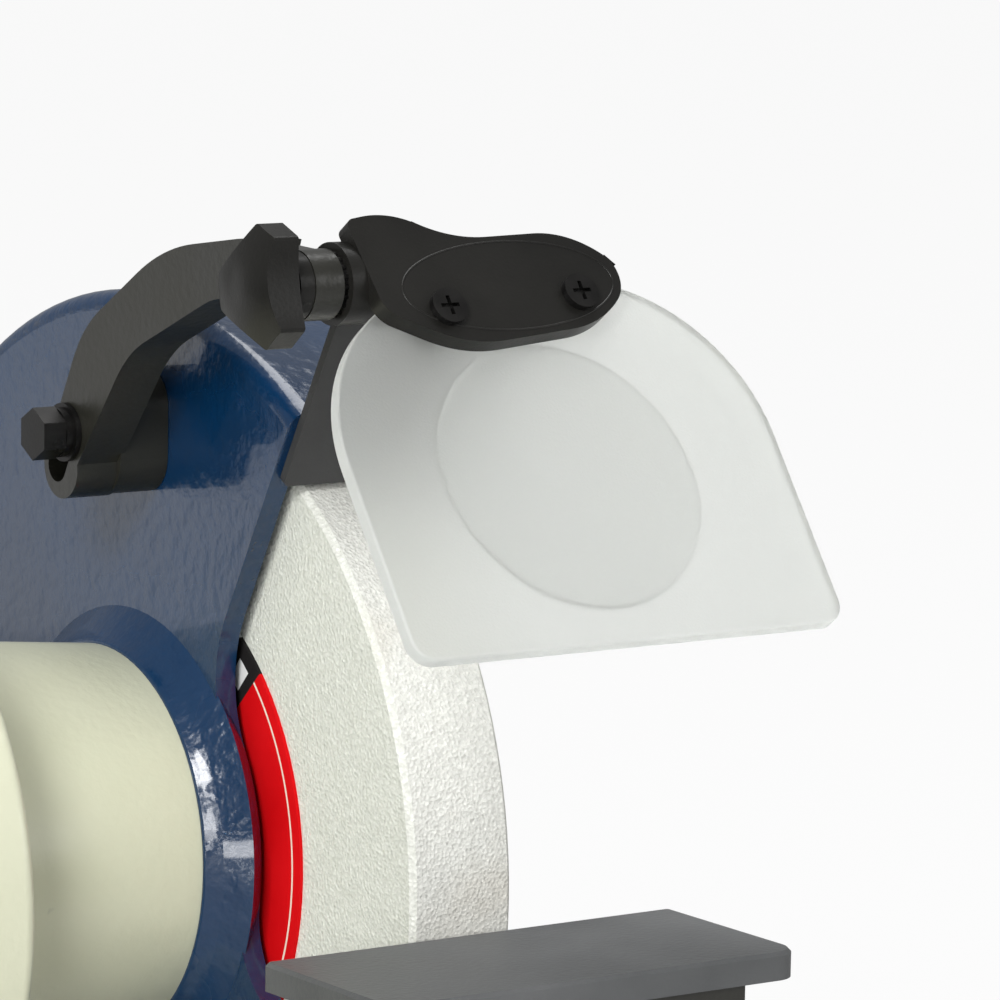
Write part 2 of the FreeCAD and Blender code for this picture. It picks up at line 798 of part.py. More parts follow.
def make_arbor_shaft():
    body = body_at("arbor_shaft")
    journal = "neck_end - end_wall - bearing_width - 0.3"
    shoulder = "wheel_face + (%s)" % SHOULDER
    end = "wheel_face + wheel_width + arbor_reach"
    half = [
        (end, "0"),
        (end, "arbor_radius", "1.2"),
        (shoulder, "arbor_radius"),
        (shoulder, "journal_radius"),
        (journal, "journal_radius"),
        (journal, "shaft_radius"),
    ]
    corners = [(tied(1, c[0]),) + c[1:] for c in half]
    corners += [(tied(-1, c[0]),) + c[1:] for c in reversed(half)]
    turned(body, corners)


def make_rotor_core():
    axis = ("0", "shaft_height")
    core = cylinder("stator_bore - air_gap", "2 * stator_half", ("-stator_half",) + axis)
    rings = cylinder("stator_bore - 5", "2 * stator_half + 16", ("-stator_half - 8",) + axis)
    bore = cylinder("shaft_radius + seat_gap", "2 * stator_half + 20", ("-stator_half - 10",) + axis)
    node("rotor_core", less(fused(core, rings), bore))


def make_wheel_clamp():
    """Inner flanges, paper labels, outer flanges and nuts, one of each a side."""
    inner, labels, outer, nuts = [], [], [], []
    bore = "arbor_radius + seat_gap"
    axis = ("0", "shaft_height")
    far = "wheel_width + label_thickness"
    for side in SIDES.values():
        def ring(radius, near, reach):
            start, length = span(side, near, reach)
            start = "%s + %d * wheel_face" % (start, side)
            return less(cylinder(radius, length, (start,) + axis), cylinder(bore, length, (start,) + axis))

        inner.append(fused(ring("flange_radius", "-label_thickness - flange_thickness", "-label_thickness"),
                           ring("flange_hub_radius", SHOULDER, "-label_thickness - flange_thickness")))
        labels.append(ring("label_radius", "-label_thickness", "0"))
        labels.append(ring("label_radius", "wheel_width", far))
        outside = far + " + flange_thickness"
        boss = outside + " + 2"
        outer.append(fused(ring("flange_radius", far, outside), ring("flange_hub_radius", outside, boss)))
        start, length = span(side, boss, boss + " + nut_height")
        start = "%s + %d * wheel_face" % (start, side)
        blank = hexagon("nut_flats", length, (start,) + axis)
        nuts.append(less(blank, cylinder(bore, length, (start,) + axis)))
    node("inner_flanges", together(*inner))
    node("wheel_labels", together(*labels))
    node("outer_flanges", together(*outer))
    node("arbor_nuts", together(*nuts))


def make_grinding_wheel(name, side):
    body = side_body("grinding_wheel_" + name, side)
    bore = "arbor_radius + seat_gap"
    profile = [
        ("0", bore),
        ("0", "wheel_radius - wheel_chamfer"),
        ("wheel_chamfer", "wheel_radius"),
        ("wheel_width - wheel_chamfer", "wheel_radius"),
        ("wheel_width", "wheel_radius - wheel_chamfer"),
        ("wheel_width", bore),
    ]
    turned(body, [(tied(side, c[0]),) + c[1:] for c in profile])


# ---------------------------------------------------------------------------------------------------
# Guards and their covers
# ---------------------------------------------------------------------------------------------------

GUARD_DEPTH = "(wheel_width + guard_clearance)"


def opening(sketch):
    """The work opening: two straight edges, blended into the rim of the hub."""
    far = "guard_radius + 90"
    rim = value("hub_rim_radius")
    ends = []
    for lean, side, rise, blend in (
        ("opening_lean", 1, "opening_set", "opening_blend"),
        ("opening_low", -1, "opening_low_set", "opening_low_blend"),
    ):
        set_out, radius, angle = side * value(rise), value(blend), math.radians(value(lean))
        off = set_out + side * radius
        reach = math.sqrt((rim + radius) ** 2 - off ** 2)
        run = Vector(math.cos(angle), math.sin(angle), 0)
        rise_to = Vector(-math.sin(angle), math.cos(angle), 0)
        centre = run * reach + rise_to * off
        touch = run * reach + rise_to * set_out
        mouth = run * value(far) + rise_to * set_out
        ends.append((mouth, touch, centre, centre * (rim / (rim + radius)), radius))
    (top_far, top, top_centre, top_rim, top_radius), (low_far, low, low_centre, low_rim, low_radius) = ends
    upper = sketch.addGeometry(Part.LineSegment(top_far, top))
    lower = sketch.addGeometry(Part.LineSegment(low, low_far))
    front = sketch.addGeometry(Part.LineSegment(low_far, top_far))
    arc, top_end = arc_between(top_centre, top_radius, top, top_rim)
    top_blend = sketch.addGeometry(arc)
    arc, rim_end = arc_between(Vector(0, 0, 0), rim, top_rim, low_rim)
    rim_arc = sketch.addGeometry(arc)
    arc, low_end = arc_between(low_centre, low_radius, low_rim, low)
    low_blend = sketch.addGeometry(arc)
    constrain(sketch, "Tangent", upper, 2, top_blend, top_end)
    constrain(sketch, "Tangent", top_blend, 3 - top_end, rim_arc, rim_end)
    constrain(sketch, "Tangent", rim_arc, 3 - rim_end, low_blend, low_end)
    constrain(sketch, "Tangent", low_blend, 3 - low_end, lower, 1)
    constrain(sketch, "Coincident", lower, 2, front, 1)
    constrain(sketch, "Coincident", front, 2, upper, 1)
    constrain(sketch, "Coincident", rim_arc, 3, -1, 1)
    constrain(sketch, "Radius", rim_arc, "hub_rim_radius")
    constrain(sketch, "Radius", top_blend, "opening_blend")
    constrain(sketch, "Radius", low_blend, "opening_low_blend")
    pin(sketch, upper, 1, *leaning("opening_lean", far, "opening_set"))
    pin(sketch, lower, 2, *leaning("opening_low", far, "-opening_low_set"))
    for line, lean, rise in (
        (upper, "opening_lean", "opening_set"),
        (lower, "opening_low", "-opening_low_set"),
    ):
        mark = sketch.addGeometry(Part.Point(Vector(*[value(c) for c in leaning(lean, "0", rise)], 0)), True)
        pin(sketch, mark, 1, *leaning(lean, "0", rise))
        constrain(sketch, "PointOnObject", mark, 1, line)


COVER_SCREW_ANGLES = (85, 0, 275)


def cover_screw_circles(sketch, radius):
    for angle in COVER_SCREW_ANGLES:
        circle(sketch, "cover_screw_circle * cos(%d)" % angle, "cover_screw_circle * sin(%d)" % angle, radius)


def make_guard(name, side):
    """The inner casting: a side plate, the wall round the wheel, and a hub that bolts to the motor's neck."""
    body = side_body("guard_" + name, side)
    inner = "guard_radius - guard_wall"
    shell = [
        ("-guard_face", "hub_bore"),
        ("-guard_face", "guard_radius", "4.5"),
        (GUARD_DEPTH, "guard_radius"),
        (GUARD_DEPTH, inner),
        ("guard_wall - guard_face", inner, "4"),
        ("guard_wall - guard_face", "hub_bore"),
    ]
    turned(body, [(tied(side, c[0]),) + c[1:] for c in shell])
    cut = sketch_on(body, "YZ_Plane")
    opening(cut)
    pocket(body, cut)
    hub = [
        ("-hub_face", "shaft_radius + 1"),
        ("-hub_face", "hub_radius", "0.8"),
        ("-guard_face - 5", "hub_radius + 1.6", "12"),
        ("-guard_face + 0.5", "hub_rim_radius + 4.2"),
        ("guard_wall - guard_face", "hub_rim_radius"),
        ("guard_wall - guard_face", "hub_bore"),
        ("-hub_face + hub_web", "hub_bore", "2"),
        ("-hub_face + hub_web", "shaft_radius + 1"),
    ]
    turned(body, [(tied(side, c[0]),) + c[1:] for c in hub])
    lug_start, lug_length = span(side, "2", "30")
    lug = sketch_on(body, "YZ_Plane", lug_start)
    loop(lug, [
        leaning("opening_lean", "%s + 0.5" % inner, "opening_set - 9"),
        leaning("opening_lean", "%s + 0.5" % inner, "opening_set"),
        leaning("opening_lean", "arrester_screw + 8", "opening_set"),
        leaning("opening_lean", "arrester_screw + 8", "opening_set - 9") + ("3",),
    ])
    pad(body, lug, lug_length)
    boss_start, boss_length = span(side, GUARD_DEPTH + " - 12", GUARD_DEPTH)
    bosses = sketch_on(body, "YZ_Plane", boss_start)
    cover_screw_circles(bosses, "5")
    pad(body, bosses, boss_length)
    hole_start, hole_length = span(side, GUARD_DEPTH + " - 11", GUARD_DEPTH + " + 1")
    holes = sketch_on(body, "YZ_Plane", hole_start)
    cover_screw_circles(holes, "2.02")
    pocket(body, holes, hole_length)
    hub_start, hub_length = span(side, "-hub_face - 1", "-hub_face + hub_web + 1")
    hub_holes = sketch_on(body, "YZ_Plane", hub_start)
    hub_screw_circles(hub_holes, "3.2")
    pocket(body, hub_holes, hub_length)
    plate_start, plate_length = span(side, "-guard_face - 1", "guard_wall - guard_face + 1")
    tapped = sketch_on(body, "YZ_Plane", plate_start)
    circle(tapped, "bracket_bolt_y", "bracket_bolt_z", "3.02")
    circle(tapped, "rest_pivot_y", "rest_pivot_z", "4.02")
    pocket(body, tapped, plate_length)
    drill_lug(body, side)


ARRESTER_SCREWS = ("8", "24")


def drill_lug(body, side):
    """Two tapped holes for the arrester's screws, square to the lug's leaning face."""
    for x in ARRESTER_SCREWS:
        start, length = span(side, "%s - 2.52" % x, "%s + 2.52" % x)
        drill = sketch_on(body, "YZ_Plane", start)
        loop(drill, [
            leaning("opening_lean", "arrester_screw - 2.52", "opening_set - 7.5"),
            leaning("opening_lean", "arrester_screw - 2.52", "opening_set + 1"),
            leaning("opening_lean", "arrester_screw + 2.52", "opening_set + 1"),
            leaning("opening_lean", "arrester_screw + 2.52", "opening_set - 7.5"),
        ])
        pocket(body, drill, length)


def make_guard_cover(name, side):
    """The pressed outer cover, with a dome over the arbor nut."""
    body = side_body("guard_cover_" + name, side)
    wall = "cover_thickness"
    face = GUARD_DEPTH
    plate = [
        (face, "20"),
        (face, "guard_radius"),
        (face + " + " + wall, "guard_radius", "1.5"),
        (face + " + " + wall, "20"),
    ]
    turned(body, [(tied(side, c[0]),) + c[1:] for c in plate])
    cut = sketch_on(body, "YZ_Plane")
    opening(cut)
    pocket(body, cut)
    cavity_start, cavity_length = span(side, face + " - 1", face + " + cover_dome_depth - " + wall)
    dome = [
        (face, "0"),
        (face, "cover_dome_radius"),
        (face + " + " + wall, "cover_dome_radius", "2"),
        (face + " + cover_dome_depth", "cover_dome_radius - 7", "6"),
        (face + " + cover_dome_depth", "0"),
    ]
    turned(body, [(tied(side, c[0]),) + c[1:] for c in dome])
    cavity = sketch_on(body, "YZ_Plane", cavity_start)
    circle(cavity, "0", "0", "cover_dome_radius - 10")
    pocket(body, cavity, cavity_length)
    holes = sketch_on(body, "YZ_Plane")
    cover_screw_circles(holes, "2.2")
    pocket(body, holes)


def screw(radius, head_radius, head_height, near, seat, side, y, z, socket="1.4"):
    """A screw along X: its head stands outboard of seat, and its shank starts at near."""
    at = (y, up(z))
    start, length = span(side, near, seat)
    shank = cylinder(radius, length, ("%s + %d * wheel_face" % (start, side),) + at)
    start, length = span(side, seat, "%s + %s" % (seat, head_height))
    head = cylinder(head_radius, length, ("%s + %d * wheel_face" % (start, side),) + at)
    start, length = span(side, "%s + %s / 2" % (seat, head_height), "%s + %s" % (seat, head_height))
    recess = hexagon(socket, length, ("%s + %d * wheel_face" % (start, side),) + at)
    return less(fused(shank, head), recess)


def make_guard_screws():
    cover, mount = [], []
    for side in SIDES.values():
        for angle in COVER_SCREW_ANGLES:
            y, z = ("cover_screw_circle * %s(%d)" % (wave, angle) for wave in ("cos", "sin"))
            seat = "(wheel_width + guard_clearance) + cover_thickness"
            cover.append(screw("2", "4", "3", "(wheel_width + guard_clearance) - 9", seat, side, y, z, "2.6"))
        for angle in (90, 210, 330):
            y, z = ("hub_screw_circle * %s(%d)" % (wave, angle) for wave in ("cos", "sin"))
            near = "-hub_face - end_wall + 0.5"
            mount.append(screw("3", "5", "3.2", near, "-hub_face + hub_web", side, y, z, "4"))
    node("guard_cover_screws", together(*cover))
    node("guard_mount_screws", together(*mount))


# ---------------------------------------------------------------------------------------------------
# Spark arrester: a plate in the plane of the opening's upper edge, slotted for its two screws
# ---------------------------------------------------------------------------------------------------

def make_spark_arrester(name, side):
    body = side_body("spark_arrester_" + name, side, turn="opening_lean")
    sketch = sketch_on(body, "XY_Plane", "opening_set + slide_gap")
    near, far = tied(side, "arrester_near"), tied(side, "arrester_far")
    loop(sketch, [(near, "arrester_foot", "1.5"), (far, "arrester_foot", "1.5"),
                  (far, "arrester_top", "3"), (near, "arrester_top", "3")])
    pad(body, sketch, "arrester_thickness")
    slots = sketch_on(body, "XY_Plane")
    for x in ARRESTER_SCREWS:
        obround(slots, (tied(side, x), "arrester_screw - arrester_travel - 0.3"),
                (tied(side, x), "arrester_screw + 1.3"), "2.8")
    pocket(body, slots)


def make_arrester_screws():
    screws = []
    for side in SIDES.values():
        pair = []
        for x in ARRESTER_SCREWS:
            seat = "opening_set + arrester_thickness + 2 * slide_gap"
            shank = cylinder("2.5", "%s - (opening_set - 7)" % seat,
                             (tied(side, x), "arrester_screw", "opening_set - 7"), "Z")
            head = cylinder("4.6", "3", (tied(side, x), "arrester_screw", seat), "Z")
            corner = ("%s - 0.55" % tied(side, x), "arrester_screw - 3.5", "%s + 1.7" % seat)
            slot = block(("1.1", "7", "1.4"), corner)
            pair.append(less(fused(shank, head), slot))
        screws.append(place(together(*pair), (outboard(side, "0"), "0", "shaft_height"), "opening_lean"))
    node("arrester_screws", together(*screws))


# ---------------------------------------------------------------------------------------------------
# Eye shield: arched bracket, knob, toothed ring, holder, shield, magnifier
# ---------------------------------------------------------------------------------------------------

def make_shield_bracket(name, side):
    """A slotted foot against the guard, an arched arm, and a boss for the knob's stud."""
    body = side_body("shield_bracket_" + name, side)
    start, length = span(side, "-bracket_face", "bracket_width - bracket_face")
    arm = sketch_on(body, "YZ_Plane", start)
    loop(arm, [
        ("0.6", "77.8", "7.2"),
        ("0.3", "86"),
        ("-15.5", "116", "30"),
        ("-48.3", "136.2", "60"),
        ("-80", "140.9", "25"),
        ("pivot_y - 2", "pivot_z + pivot_boss_radius - 0.6"),
        ("pivot_y", "pivot_z"),
        ("pivot_y + 3", "pivot_z - pivot_boss_radius + 0.8"),
        ("-70", "128", "25"),
        ("-34.5", "112.5", "30"),
        ("-13.8", "86"),
        ("-15.2", "77.8", "7"),
    ])
    pad(body, arm, length)
    foot_start, foot_length = span(side, "bracket_width - bracket_face - 1", "-guard_face - slide_gap")
    foot = sketch_on(body, "YZ_Plane", foot_start)
    obround(foot, ("-7.2", "86.5"), ("-7.2", "97.2"), "8.3")
    pad(body, foot, foot_length)
    clear_start, clear_length = span(side, "pivot_boss_far", "0")
    clear = sketch_on(body, "YZ_Plane", clear_start)
    circle(clear, "pivot_y", "pivot_z", "pivot_clear_radius")
    pocket(body, clear, clear_length)
    boss_start, boss_length = span(side, "pivot_boss_near", "pivot_boss_far")
    boss = sketch_on(body, "YZ_Plane", boss_start)
    circle(boss, "pivot_y", "pivot_z", "pivot_boss_radius")
    pad(body, boss, boss_length)
    holes = sketch_on(body, "YZ_Plane")
    circle(holes, "pivot_y", "pivot_z", "stud_radius + running_gap")
    ends = []
    for way in ("-(bracket_rise + 0.3)", "(bracket_drop + 0.3)"):
        y = "bracket_bolt_y + %s * cos(bracket_slot_lean)" % way
        ends.append((y, "bracket_bolt_z + %s * sin(bracket_slot_lean)" % way))
    obround(holes, *ends, "bracket_slot_width / 2")
    pocket(body, holes)


def make_bracket_bolts():
    """A hexagon bolt through each bracket's slot, on a flat washer and a spring washer."""
    bolts, washers = [], []
    at = ("bracket_bolt_y", up("bracket_bolt_z"))
    seat = "-bracket_face - slide_gap"
    under_spring = "%s - washer_thickness" % seat
    under_head = "%s - spring_washer_thickness" % under_spring
    bore = "bracket_bolt_radius + running_gap"
    for side in SIDES.values():
        def disc(radius, near, far):
            start, length = span(side, near, far)
            return cylinder(radius, length, ("%s + %d * wheel_face" % (start, side),) + at)

        start, length = span(side, "%s - bracket_bolt_head" % under_head, under_head)
        head = hexagon("bracket_bolt_flats", length, ("%s + %d * wheel_face" % (start, side),) + at)
        bolts.append(fused(disc("bracket_bolt_radius", under_head, "guard_wall - guard_face - 0.5"), head))
        for radius, near, far in (
            ("washer_radius", under_spring, seat),
            ("spring_washer_radius", under_head, under_spring),
        ):
            washers.append(less(disc(radius, near, far), disc(bore, near, far)))
    node("bracket_bolts", together(*bolts))
    node("bracket_washers", together(*washers))


def pivot_at():
    return ("pivot_y", "pivot_z")


def make_shield_knob(name, side):
    """A domed three-sided knob with hollowed sides and cut-off corners, on a flanged neck."""
    body = side_body("shield_knob_" + name, side, pivot_at())
    start, length = span(side, "knob_face", "knob_back")
    grip = sketch_on(body, "YZ_Plane", start)
    corners = []
    for turn in (0, 120, 240):
        for end in (-1, 1):
            lean = "(%d + knob_turned)" % turn
            corners.append((
                "knob_reach * cos(%s) - %d * knob_tip * sin(%s)" % (lean, end, lean),
                "knob_reach * sin(%s) + %d * knob_tip * cos(%s)" % (lean, end, lean),
                "1.2",
            ))
    loop(grip, corners)
    pad(body, grip, length)
    hollows = sketch_on(body, "YZ_Plane", start)
    out = "((knob_reach + knob_tip * sqrt(3)) / 2 + knob_hollow_radius - knob_hollow)"
    for turn in (60, 180, 300):
        lean = "(%d + knob_turned)" % turn
        circle(hollows, "%s * cos(%s)" % (out, lean), "%s * sin(%s)" % (out, lean), "knob_hollow_radius")
    pocket(body, hollows, length)
    neck_end = "knob_back + knob_neck"
    for near, far, radius in (
        ("knob_back", neck_end, "knob_neck_radius"),
        (neck_end, "pivot_boss_near - slide_gap", "knob_flange_radius"),
    ):
        neck_start, neck_length = span(side, near, far)
        neck = sketch_on(body, "YZ_Plane", neck_start)
        circle(neck, "0", "0", radius)
        pad(body, neck, neck_length)
    bore_start, bore_length = span(side, "knob_face + 3", "pivot_boss_near")
    bore = sketch_on(body, "YZ_Plane", bore_start)
    circle(bore, "0", "0", "stud_radius + seat_gap")
    pocket(body, bore, bore_length)
    at = (outboard(side, "0"), "pivot_y", up("pivot_z"))
    around_start, around_length = span(side, "knob_face - 1", "knob_back")
    around = cylinder("2 * knob_reach", around_length, (around_start, "0", "0"))
    dome = primitive("Sphere", "dome", Radius="knob_dome")
    place(dome, (tied(side, "knob_face + knob_dome"), "0", "0"))
    body.Label = "knob_blank_" + name
    node("shield_knob_" + name, less(body, place(less(around, dome), at)))
    stud_start, stud_length = span(side, "knob_face + 3.2", "hub_reach - 21")
    stud_at = ("%s + %d * wheel_face" % (stud_start, side), "pivot_y", up("pivot_z"))
    node("knob_stud_" + name, cylinder("stud_radius", stud_length, stud_at))


def make_clutch_ring(name, side):
    """The ring of fine teeth that stops the holder from slipping on the arm."""
    near = "pivot_boss_far + slide_gap"
    start, length = span(side, near, near + " + ring_thickness")
    ring = cylinder("ring_radius", length, (start, "0", "0"))
    bore = cylinder("stud_radius + running_gap", length, (start, "0", "0"))
    teeth = []
    for turn in range(0, 360, 18):
        y, z = "(ring_radius - 0.15) * cos(%d)" % turn, "(ring_radius - 0.15) * sin(%d)" % turn
        teeth.append(cylinder("ring_tooth", length, (start, y, z)))
    at = (outboard(side, "0"), "pivot_y", up("pivot_z"))
    node("clutch_ring_" + name, place(fused(less(ring, bore), *teeth), at))


def shield_frame(obj, side):
    """Local X along the shaft, Y up the shield and Z out of its front, about the knob's axis."""
    return place(obj, (outboard(side, "0"), "pivot_y", up("pivot_z")), "90 - shield_lean")


SHIELD_BACK = "holder_back - shield_thickness - seat_gap"
NOTCH_FAR = "-8.4"
HUB_NEAR = "pivot_boss_far + slide_gap + ring_thickness"


def make_eye_shield(name, side):
    body = side_body("eye_shield_" + name, side, pivot_at(), "90 - shield_lean")
    sketch = sketch_on(body, "XY_Plane", SHIELD_BACK)
    loop(sketch, [
        (tied(side, "shield_centre - shield_half_width"), "shield_foot", "5"),
        (tied(side, "shield_centre + shield_half_width"), "shield_foot", "5"),
        (tied(side, "shield_centre + shield_half_width"), "shield_top", "shield_crown"),
        (tied(side, "shield_centre - shield_half_width"), "shield_top", "shield_crown"),
    ])
    pad(body, sketch, "shield_thickness")
    soften(body, "0.6", flat_at("Z", "holder_back - seat_gap"))
    notch = sketch_on(body, "XY_Plane")
    loop(notch, [(tied(side, "-50"), "-hub_reach - 0.4"), (tied(side, NOTCH_FAR), "-hub_reach - 0.4"),
                 (tied(side, NOTCH_FAR), "shield_top + 15"), (tied(side, "-50"), "shield_top + 15")])
    for x in ("holder_screw_a", "holder_screw_b"):
        circle(notch, tied(side, x), "-11.9" if x == "holder_screw_a" else "-10.1", "2.1")
    pocket(body, notch)


def make_shield_holder(name, side):
    """The moulded arm that carries the shield: an oval front plate and a hub round the knob's stud."""
    body = side_body("shield_holder_" + name, side, pivot_at(), "90 - shield_lean")
    plate = sketch_on(body, "XY_Plane", "holder_back")
    loop(plate, [(tied(side, x), y, r) for x, y, r in (
        ("-21.4", "9.8", "2"),
        ("-10", "11.6", "20"),
        ("2", "4.2", "30"),
        ("34", "5", "22"),
        ("43.5", "-7", "8"),
        ("32", "-17.4", "24"),
        ("-2", "-20.8", "30"),
        ("-19.6", "-11.6", "6"),
    )])
    pad(body, plate, "holder_front - holder_back")
    hub_start, hub_length = span(side, HUB_NEAR, NOTCH_FAR + " - 1")
    hub = sketch_on(body, "YZ_Plane", hub_start)
    circle(hub, "0", "0", "hub_reach")
    pad(body, hub, hub_length)
    bore_start, bore_length = span(side, "-40", "hub_reach - 20")
    bore = sketch_on(body, "YZ_Plane", bore_start)
    circle(bore, "0", "0", "stud_radius + running_gap")
    pocket(body, bore, bore_length)
    holes = sketch_on(body, "XY_Plane")
    for x in ("holder_screw_a", "holder_screw_b"):
        circle(holes, tied(side, x), "-11.9" if x == "holder_screw_a" else "-10.1", "2.1")
    pocket(body, holes)


def make_holder_screws(name, side):
    """Pan-head cross-recess screws through the holder and shield, with hexagon nuts behind."""
    screws = []
    for x, y in (("holder_screw_a", "-11.9"), ("holder_screw_b", "-10.1")):
        x = tied(side, x)
        nut_seat = SHIELD_BACK
        shank = cylinder("2", "holder_front - (%s) + 3" % nut_seat, (x, y, "%s - 3" % nut_seat), "Z")
        head = cylinder("4", "1.6", (x, y, "holder_front"), "Z")
        nut = hexagon("7", "2.8", (x, y, "%s - 2.8" % nut_seat), "Z")
        cross = [block((a, b, "1.2"), ("%s - %s / 2" % (x, a), "%s - %s / 2" % (y, b), "holder_front + 0.6"))
                 for a, b in (("4.4", "0.9"), ("0.9", "4.4"))]
        screws.append(less(fused(shank, head, nut), *cross))
    node("holder_screws_" + name, shield_frame(together(*screws), side))


def make_magnifier(name, side):
    """A lens let on to the back of the shield, rounded off at its rim."""
    at = (tied(side, "shield_centre"), "-lens_drop")
    back = SHIELD_BACK + " - lens_thickness - seat_gap"
    rim = cylinder("lens_radius", "lens_thickness - lens_bevel", at + (back + " + lens_bevel",), "Z")
    crown = primitive("Cone", "crown", Radius1="lens_radius - 1", Radius2="lens_radius", Height="lens_bevel")
    place(crown, at + (back,))
    node("magnifier_lens_" + name, shield_frame(fused(rim, crown), side))


# ---------------------------------------------------------------------------------------------------
# Tool rest: table, bracket and clamp knob
# ---------------------------------------------------------------------------------------------------

REST_BACK = "-(wheel_radius + rest_gap)"
REST_UNDER = "rest_top - rest_thickness"
SHELF_TOP = "rest_top - rest_thickness - slide_gap"


def make_tool_rest(name, side):
    body = side_body("tool_rest_" + name, side)
    sketch = sketch_on(body, "XY_Plane", REST_UNDER)
    near, far = tied(side, "rest_near"), tied(side, "rest_far")
    front = "%s - rest_depth" % REST_BACK
    loop(sketch, [(near, front, "6"), (far, front, "6"), (far, REST_BACK, "1.5"), (near, REST_BACK, "1.5")])
    pad(body, sketch, "rest_thickness")
    soften(body, "0.8", flat_at("Z", "rest_top"), "Chamfer")
    hole = sketch_on(body, "XY_Plane", REST_UNDER)
    circle(hole, tied(side, "shelf_far / 2 - 4"), "rest_stud_y", "stud_radius + running_gap")
    pocket(body, hole, "4.2")


def make_tool_rest_bracket(name, side):
    """A strap that turns on the guard, and a slotted shelf under the table."""
    body = side_body("tool_rest_bracket_" + name, side)
    inside = "-guard_face - slide_gap"
    shelf_bottom = "%s - shelf_thickness" % SHELF_TOP
    shelf_front, shelf_back = "rest_stud_y - rest_out - 8", "rest_stud_y + rest_in + 12"
    start, length = span(side, "%s - strap_thickness" % inside, inside)
    strap = sketch_on(body, "YZ_Plane", start)
    loop(strap, [
        ("rest_pivot_y + strap_eye", "rest_pivot_z - strap_eye", "strap_eye - 0.5"),
        ("rest_pivot_y + strap_eye", "rest_pivot_z + strap_eye", "strap_eye - 1"),
        (shelf_back, "%s - 14" % shelf_bottom, "14"),
        (shelf_back, SHELF_TOP),
        (shelf_front, SHELF_TOP),
        (shelf_front, "%s - 6" % shelf_bottom, "8"),
        ("rest_pivot_y - strap_eye", "rest_pivot_z - strap_eye", "strap_eye - 0.5"),
    ])
    pad(body, strap, length)
    shelf_start, shelf_length = span(side, "%s - 1" % inside, "shelf_far")
    shelf = sketch_on(body, "YZ_Plane", shelf_start)
    levels = (shelf_bottom, shelf_bottom, SHELF_TOP, SHELF_TOP)
    loop(shelf, list(zip((shelf_front, shelf_back, shelf_back, shelf_front), levels)))
    pad(body, shelf, shelf_length)
    slot = sketch_on(body, "XY_Plane", "%s - 1" % shelf_bottom)
    x = tied(side, "shelf_far / 2 - 4")
    ends = ((x, "rest_stud_y - rest_out - 0.5"), (x, "rest_stud_y + rest_in + 0.5"))
    obround(slot, *ends, "stud_radius + 0.4")
    pocket(body, slot, "shelf_thickness + 2")
    eye = sketch_on(body, "YZ_Plane")
    circle(eye, "rest_pivot_y", "rest_pivot_z", "rest_bolt_radius + slide_gap")
    pocket(body, eye)


def make_tool_rest_knob(name, side):
    """A lobed knob on a stud that draws the table down on the shelf."""
    body = side_body("tool_rest_knob_" + name, side)
    under_shelf = "%s - shelf_thickness - slide_gap" % SHELF_TOP
    place(body, (outboard(side, "shelf_far / 2 - 4"), "rest_stud_y", up(under_shelf)))
    grip = sketch_on(body, "XY_Plane", "-4 - rest_knob_height")
    circle(grip, "0", "0", "rest_knob_radius")
    pad(body, grip, "rest_knob_height")
    lobes = sketch_on(body, "XY_Plane", "-4 - rest_knob_height")
    circle(lobes, "rest_knob_radius - 0.5", "0", "rest_knob_lobe")
    lobe = pad(body, lobes, "rest_knob_height")
    ring = body.newObject("PartDesign::PolarPattern", "lobes")
    ring.Originals = [lobe]
    ring.Axis = (lobes, ["N_Axis"])
    ring.Angle = 360
    ring.Occurrences = 6
    body.Tip = ring
    doc.recompute()
    collar = sketch_on(body, "XY_Plane", "-4")
    circle(collar, "0", "0", "7")
    pad(body, collar, "4")
    stud = sketch_on(body, "XY_Plane", "0")
    circle(stud, "0", "0", "stud_radius")
    pad(body, stud, "shelf_thickness + 2 * slide_gap + 4")


def make_rest_pivot_bolts():
    """The bolt that each tool rest's strap turns on, screwed into the guard's wall."""
    bolts = []
    at = ("rest_pivot_y", up("rest_pivot_z"))
    seat = "-guard_face - strap_thickness - 2 * slide_gap"
    for side in SIDES.values():
        start, length = span(side, seat, "guard_wall - guard_face - 0.5")
        shank = cylinder("rest_bolt_radius", length, ("%s + %d * wheel_face" % (start, side),) + at)
        start, length = span(side, "%s - rest_bolt_head" % seat, seat)
        head = hexagon("rest_bolt_flats", length, ("%s + %d * wheel_face" % (start, side),) + at)
        bolts.append(fused(shank, head))
    node("rest_pivot_bolts", together(*bolts))


# ---------------------------------------------------------------------------------------------------
# The grinder
# ---------------------------------------------------------------------------------------------------

make_rubber_feet()
make_base_plate()
make_base_plate_screws()
make_base_casting()
make_switch()
make_rocker()
make_cord_gland()
make_start_capacitor()
make_motor_shell()
make_stator()
make_through_bolts()
make_arbor_shaft()
make_rotor_core()
make_wheel_clamp()
make_guard_screws()
make_arrester_screws()
make_bracket_bolts()
make_rest_pivot_bolts()
for side_name, side_sign in SIDES.items():
    make_end_bell(side_name, side_sign)
    make_bearing(side_name, side_sign)
    make_grinding_wheel(side_name, side_sign)
    make_guard(side_name, side_sign)
    make_guard_cover(side_name, side_sign)
    make_spark_arrester(side_name, side_sign)
    make_shield_bracket(side_name, side_sign)
    make_shield_knob(side_name, side_sign)
    make_clutch_ring(side_name, side_sign)
    make_eye_shield(side_name, side_sign)
    make_shield_holder(side_name, side_sign)
    make_holder_screws(side_name, side_sign)
    make_magnifier(side_name, side_sign)
    make_tool_rest(side_name, side_sign)
    make_tool_rest_bracket(side_name, side_sign)
    make_tool_rest_knob(side_name, side_sign)

doc.recompute()

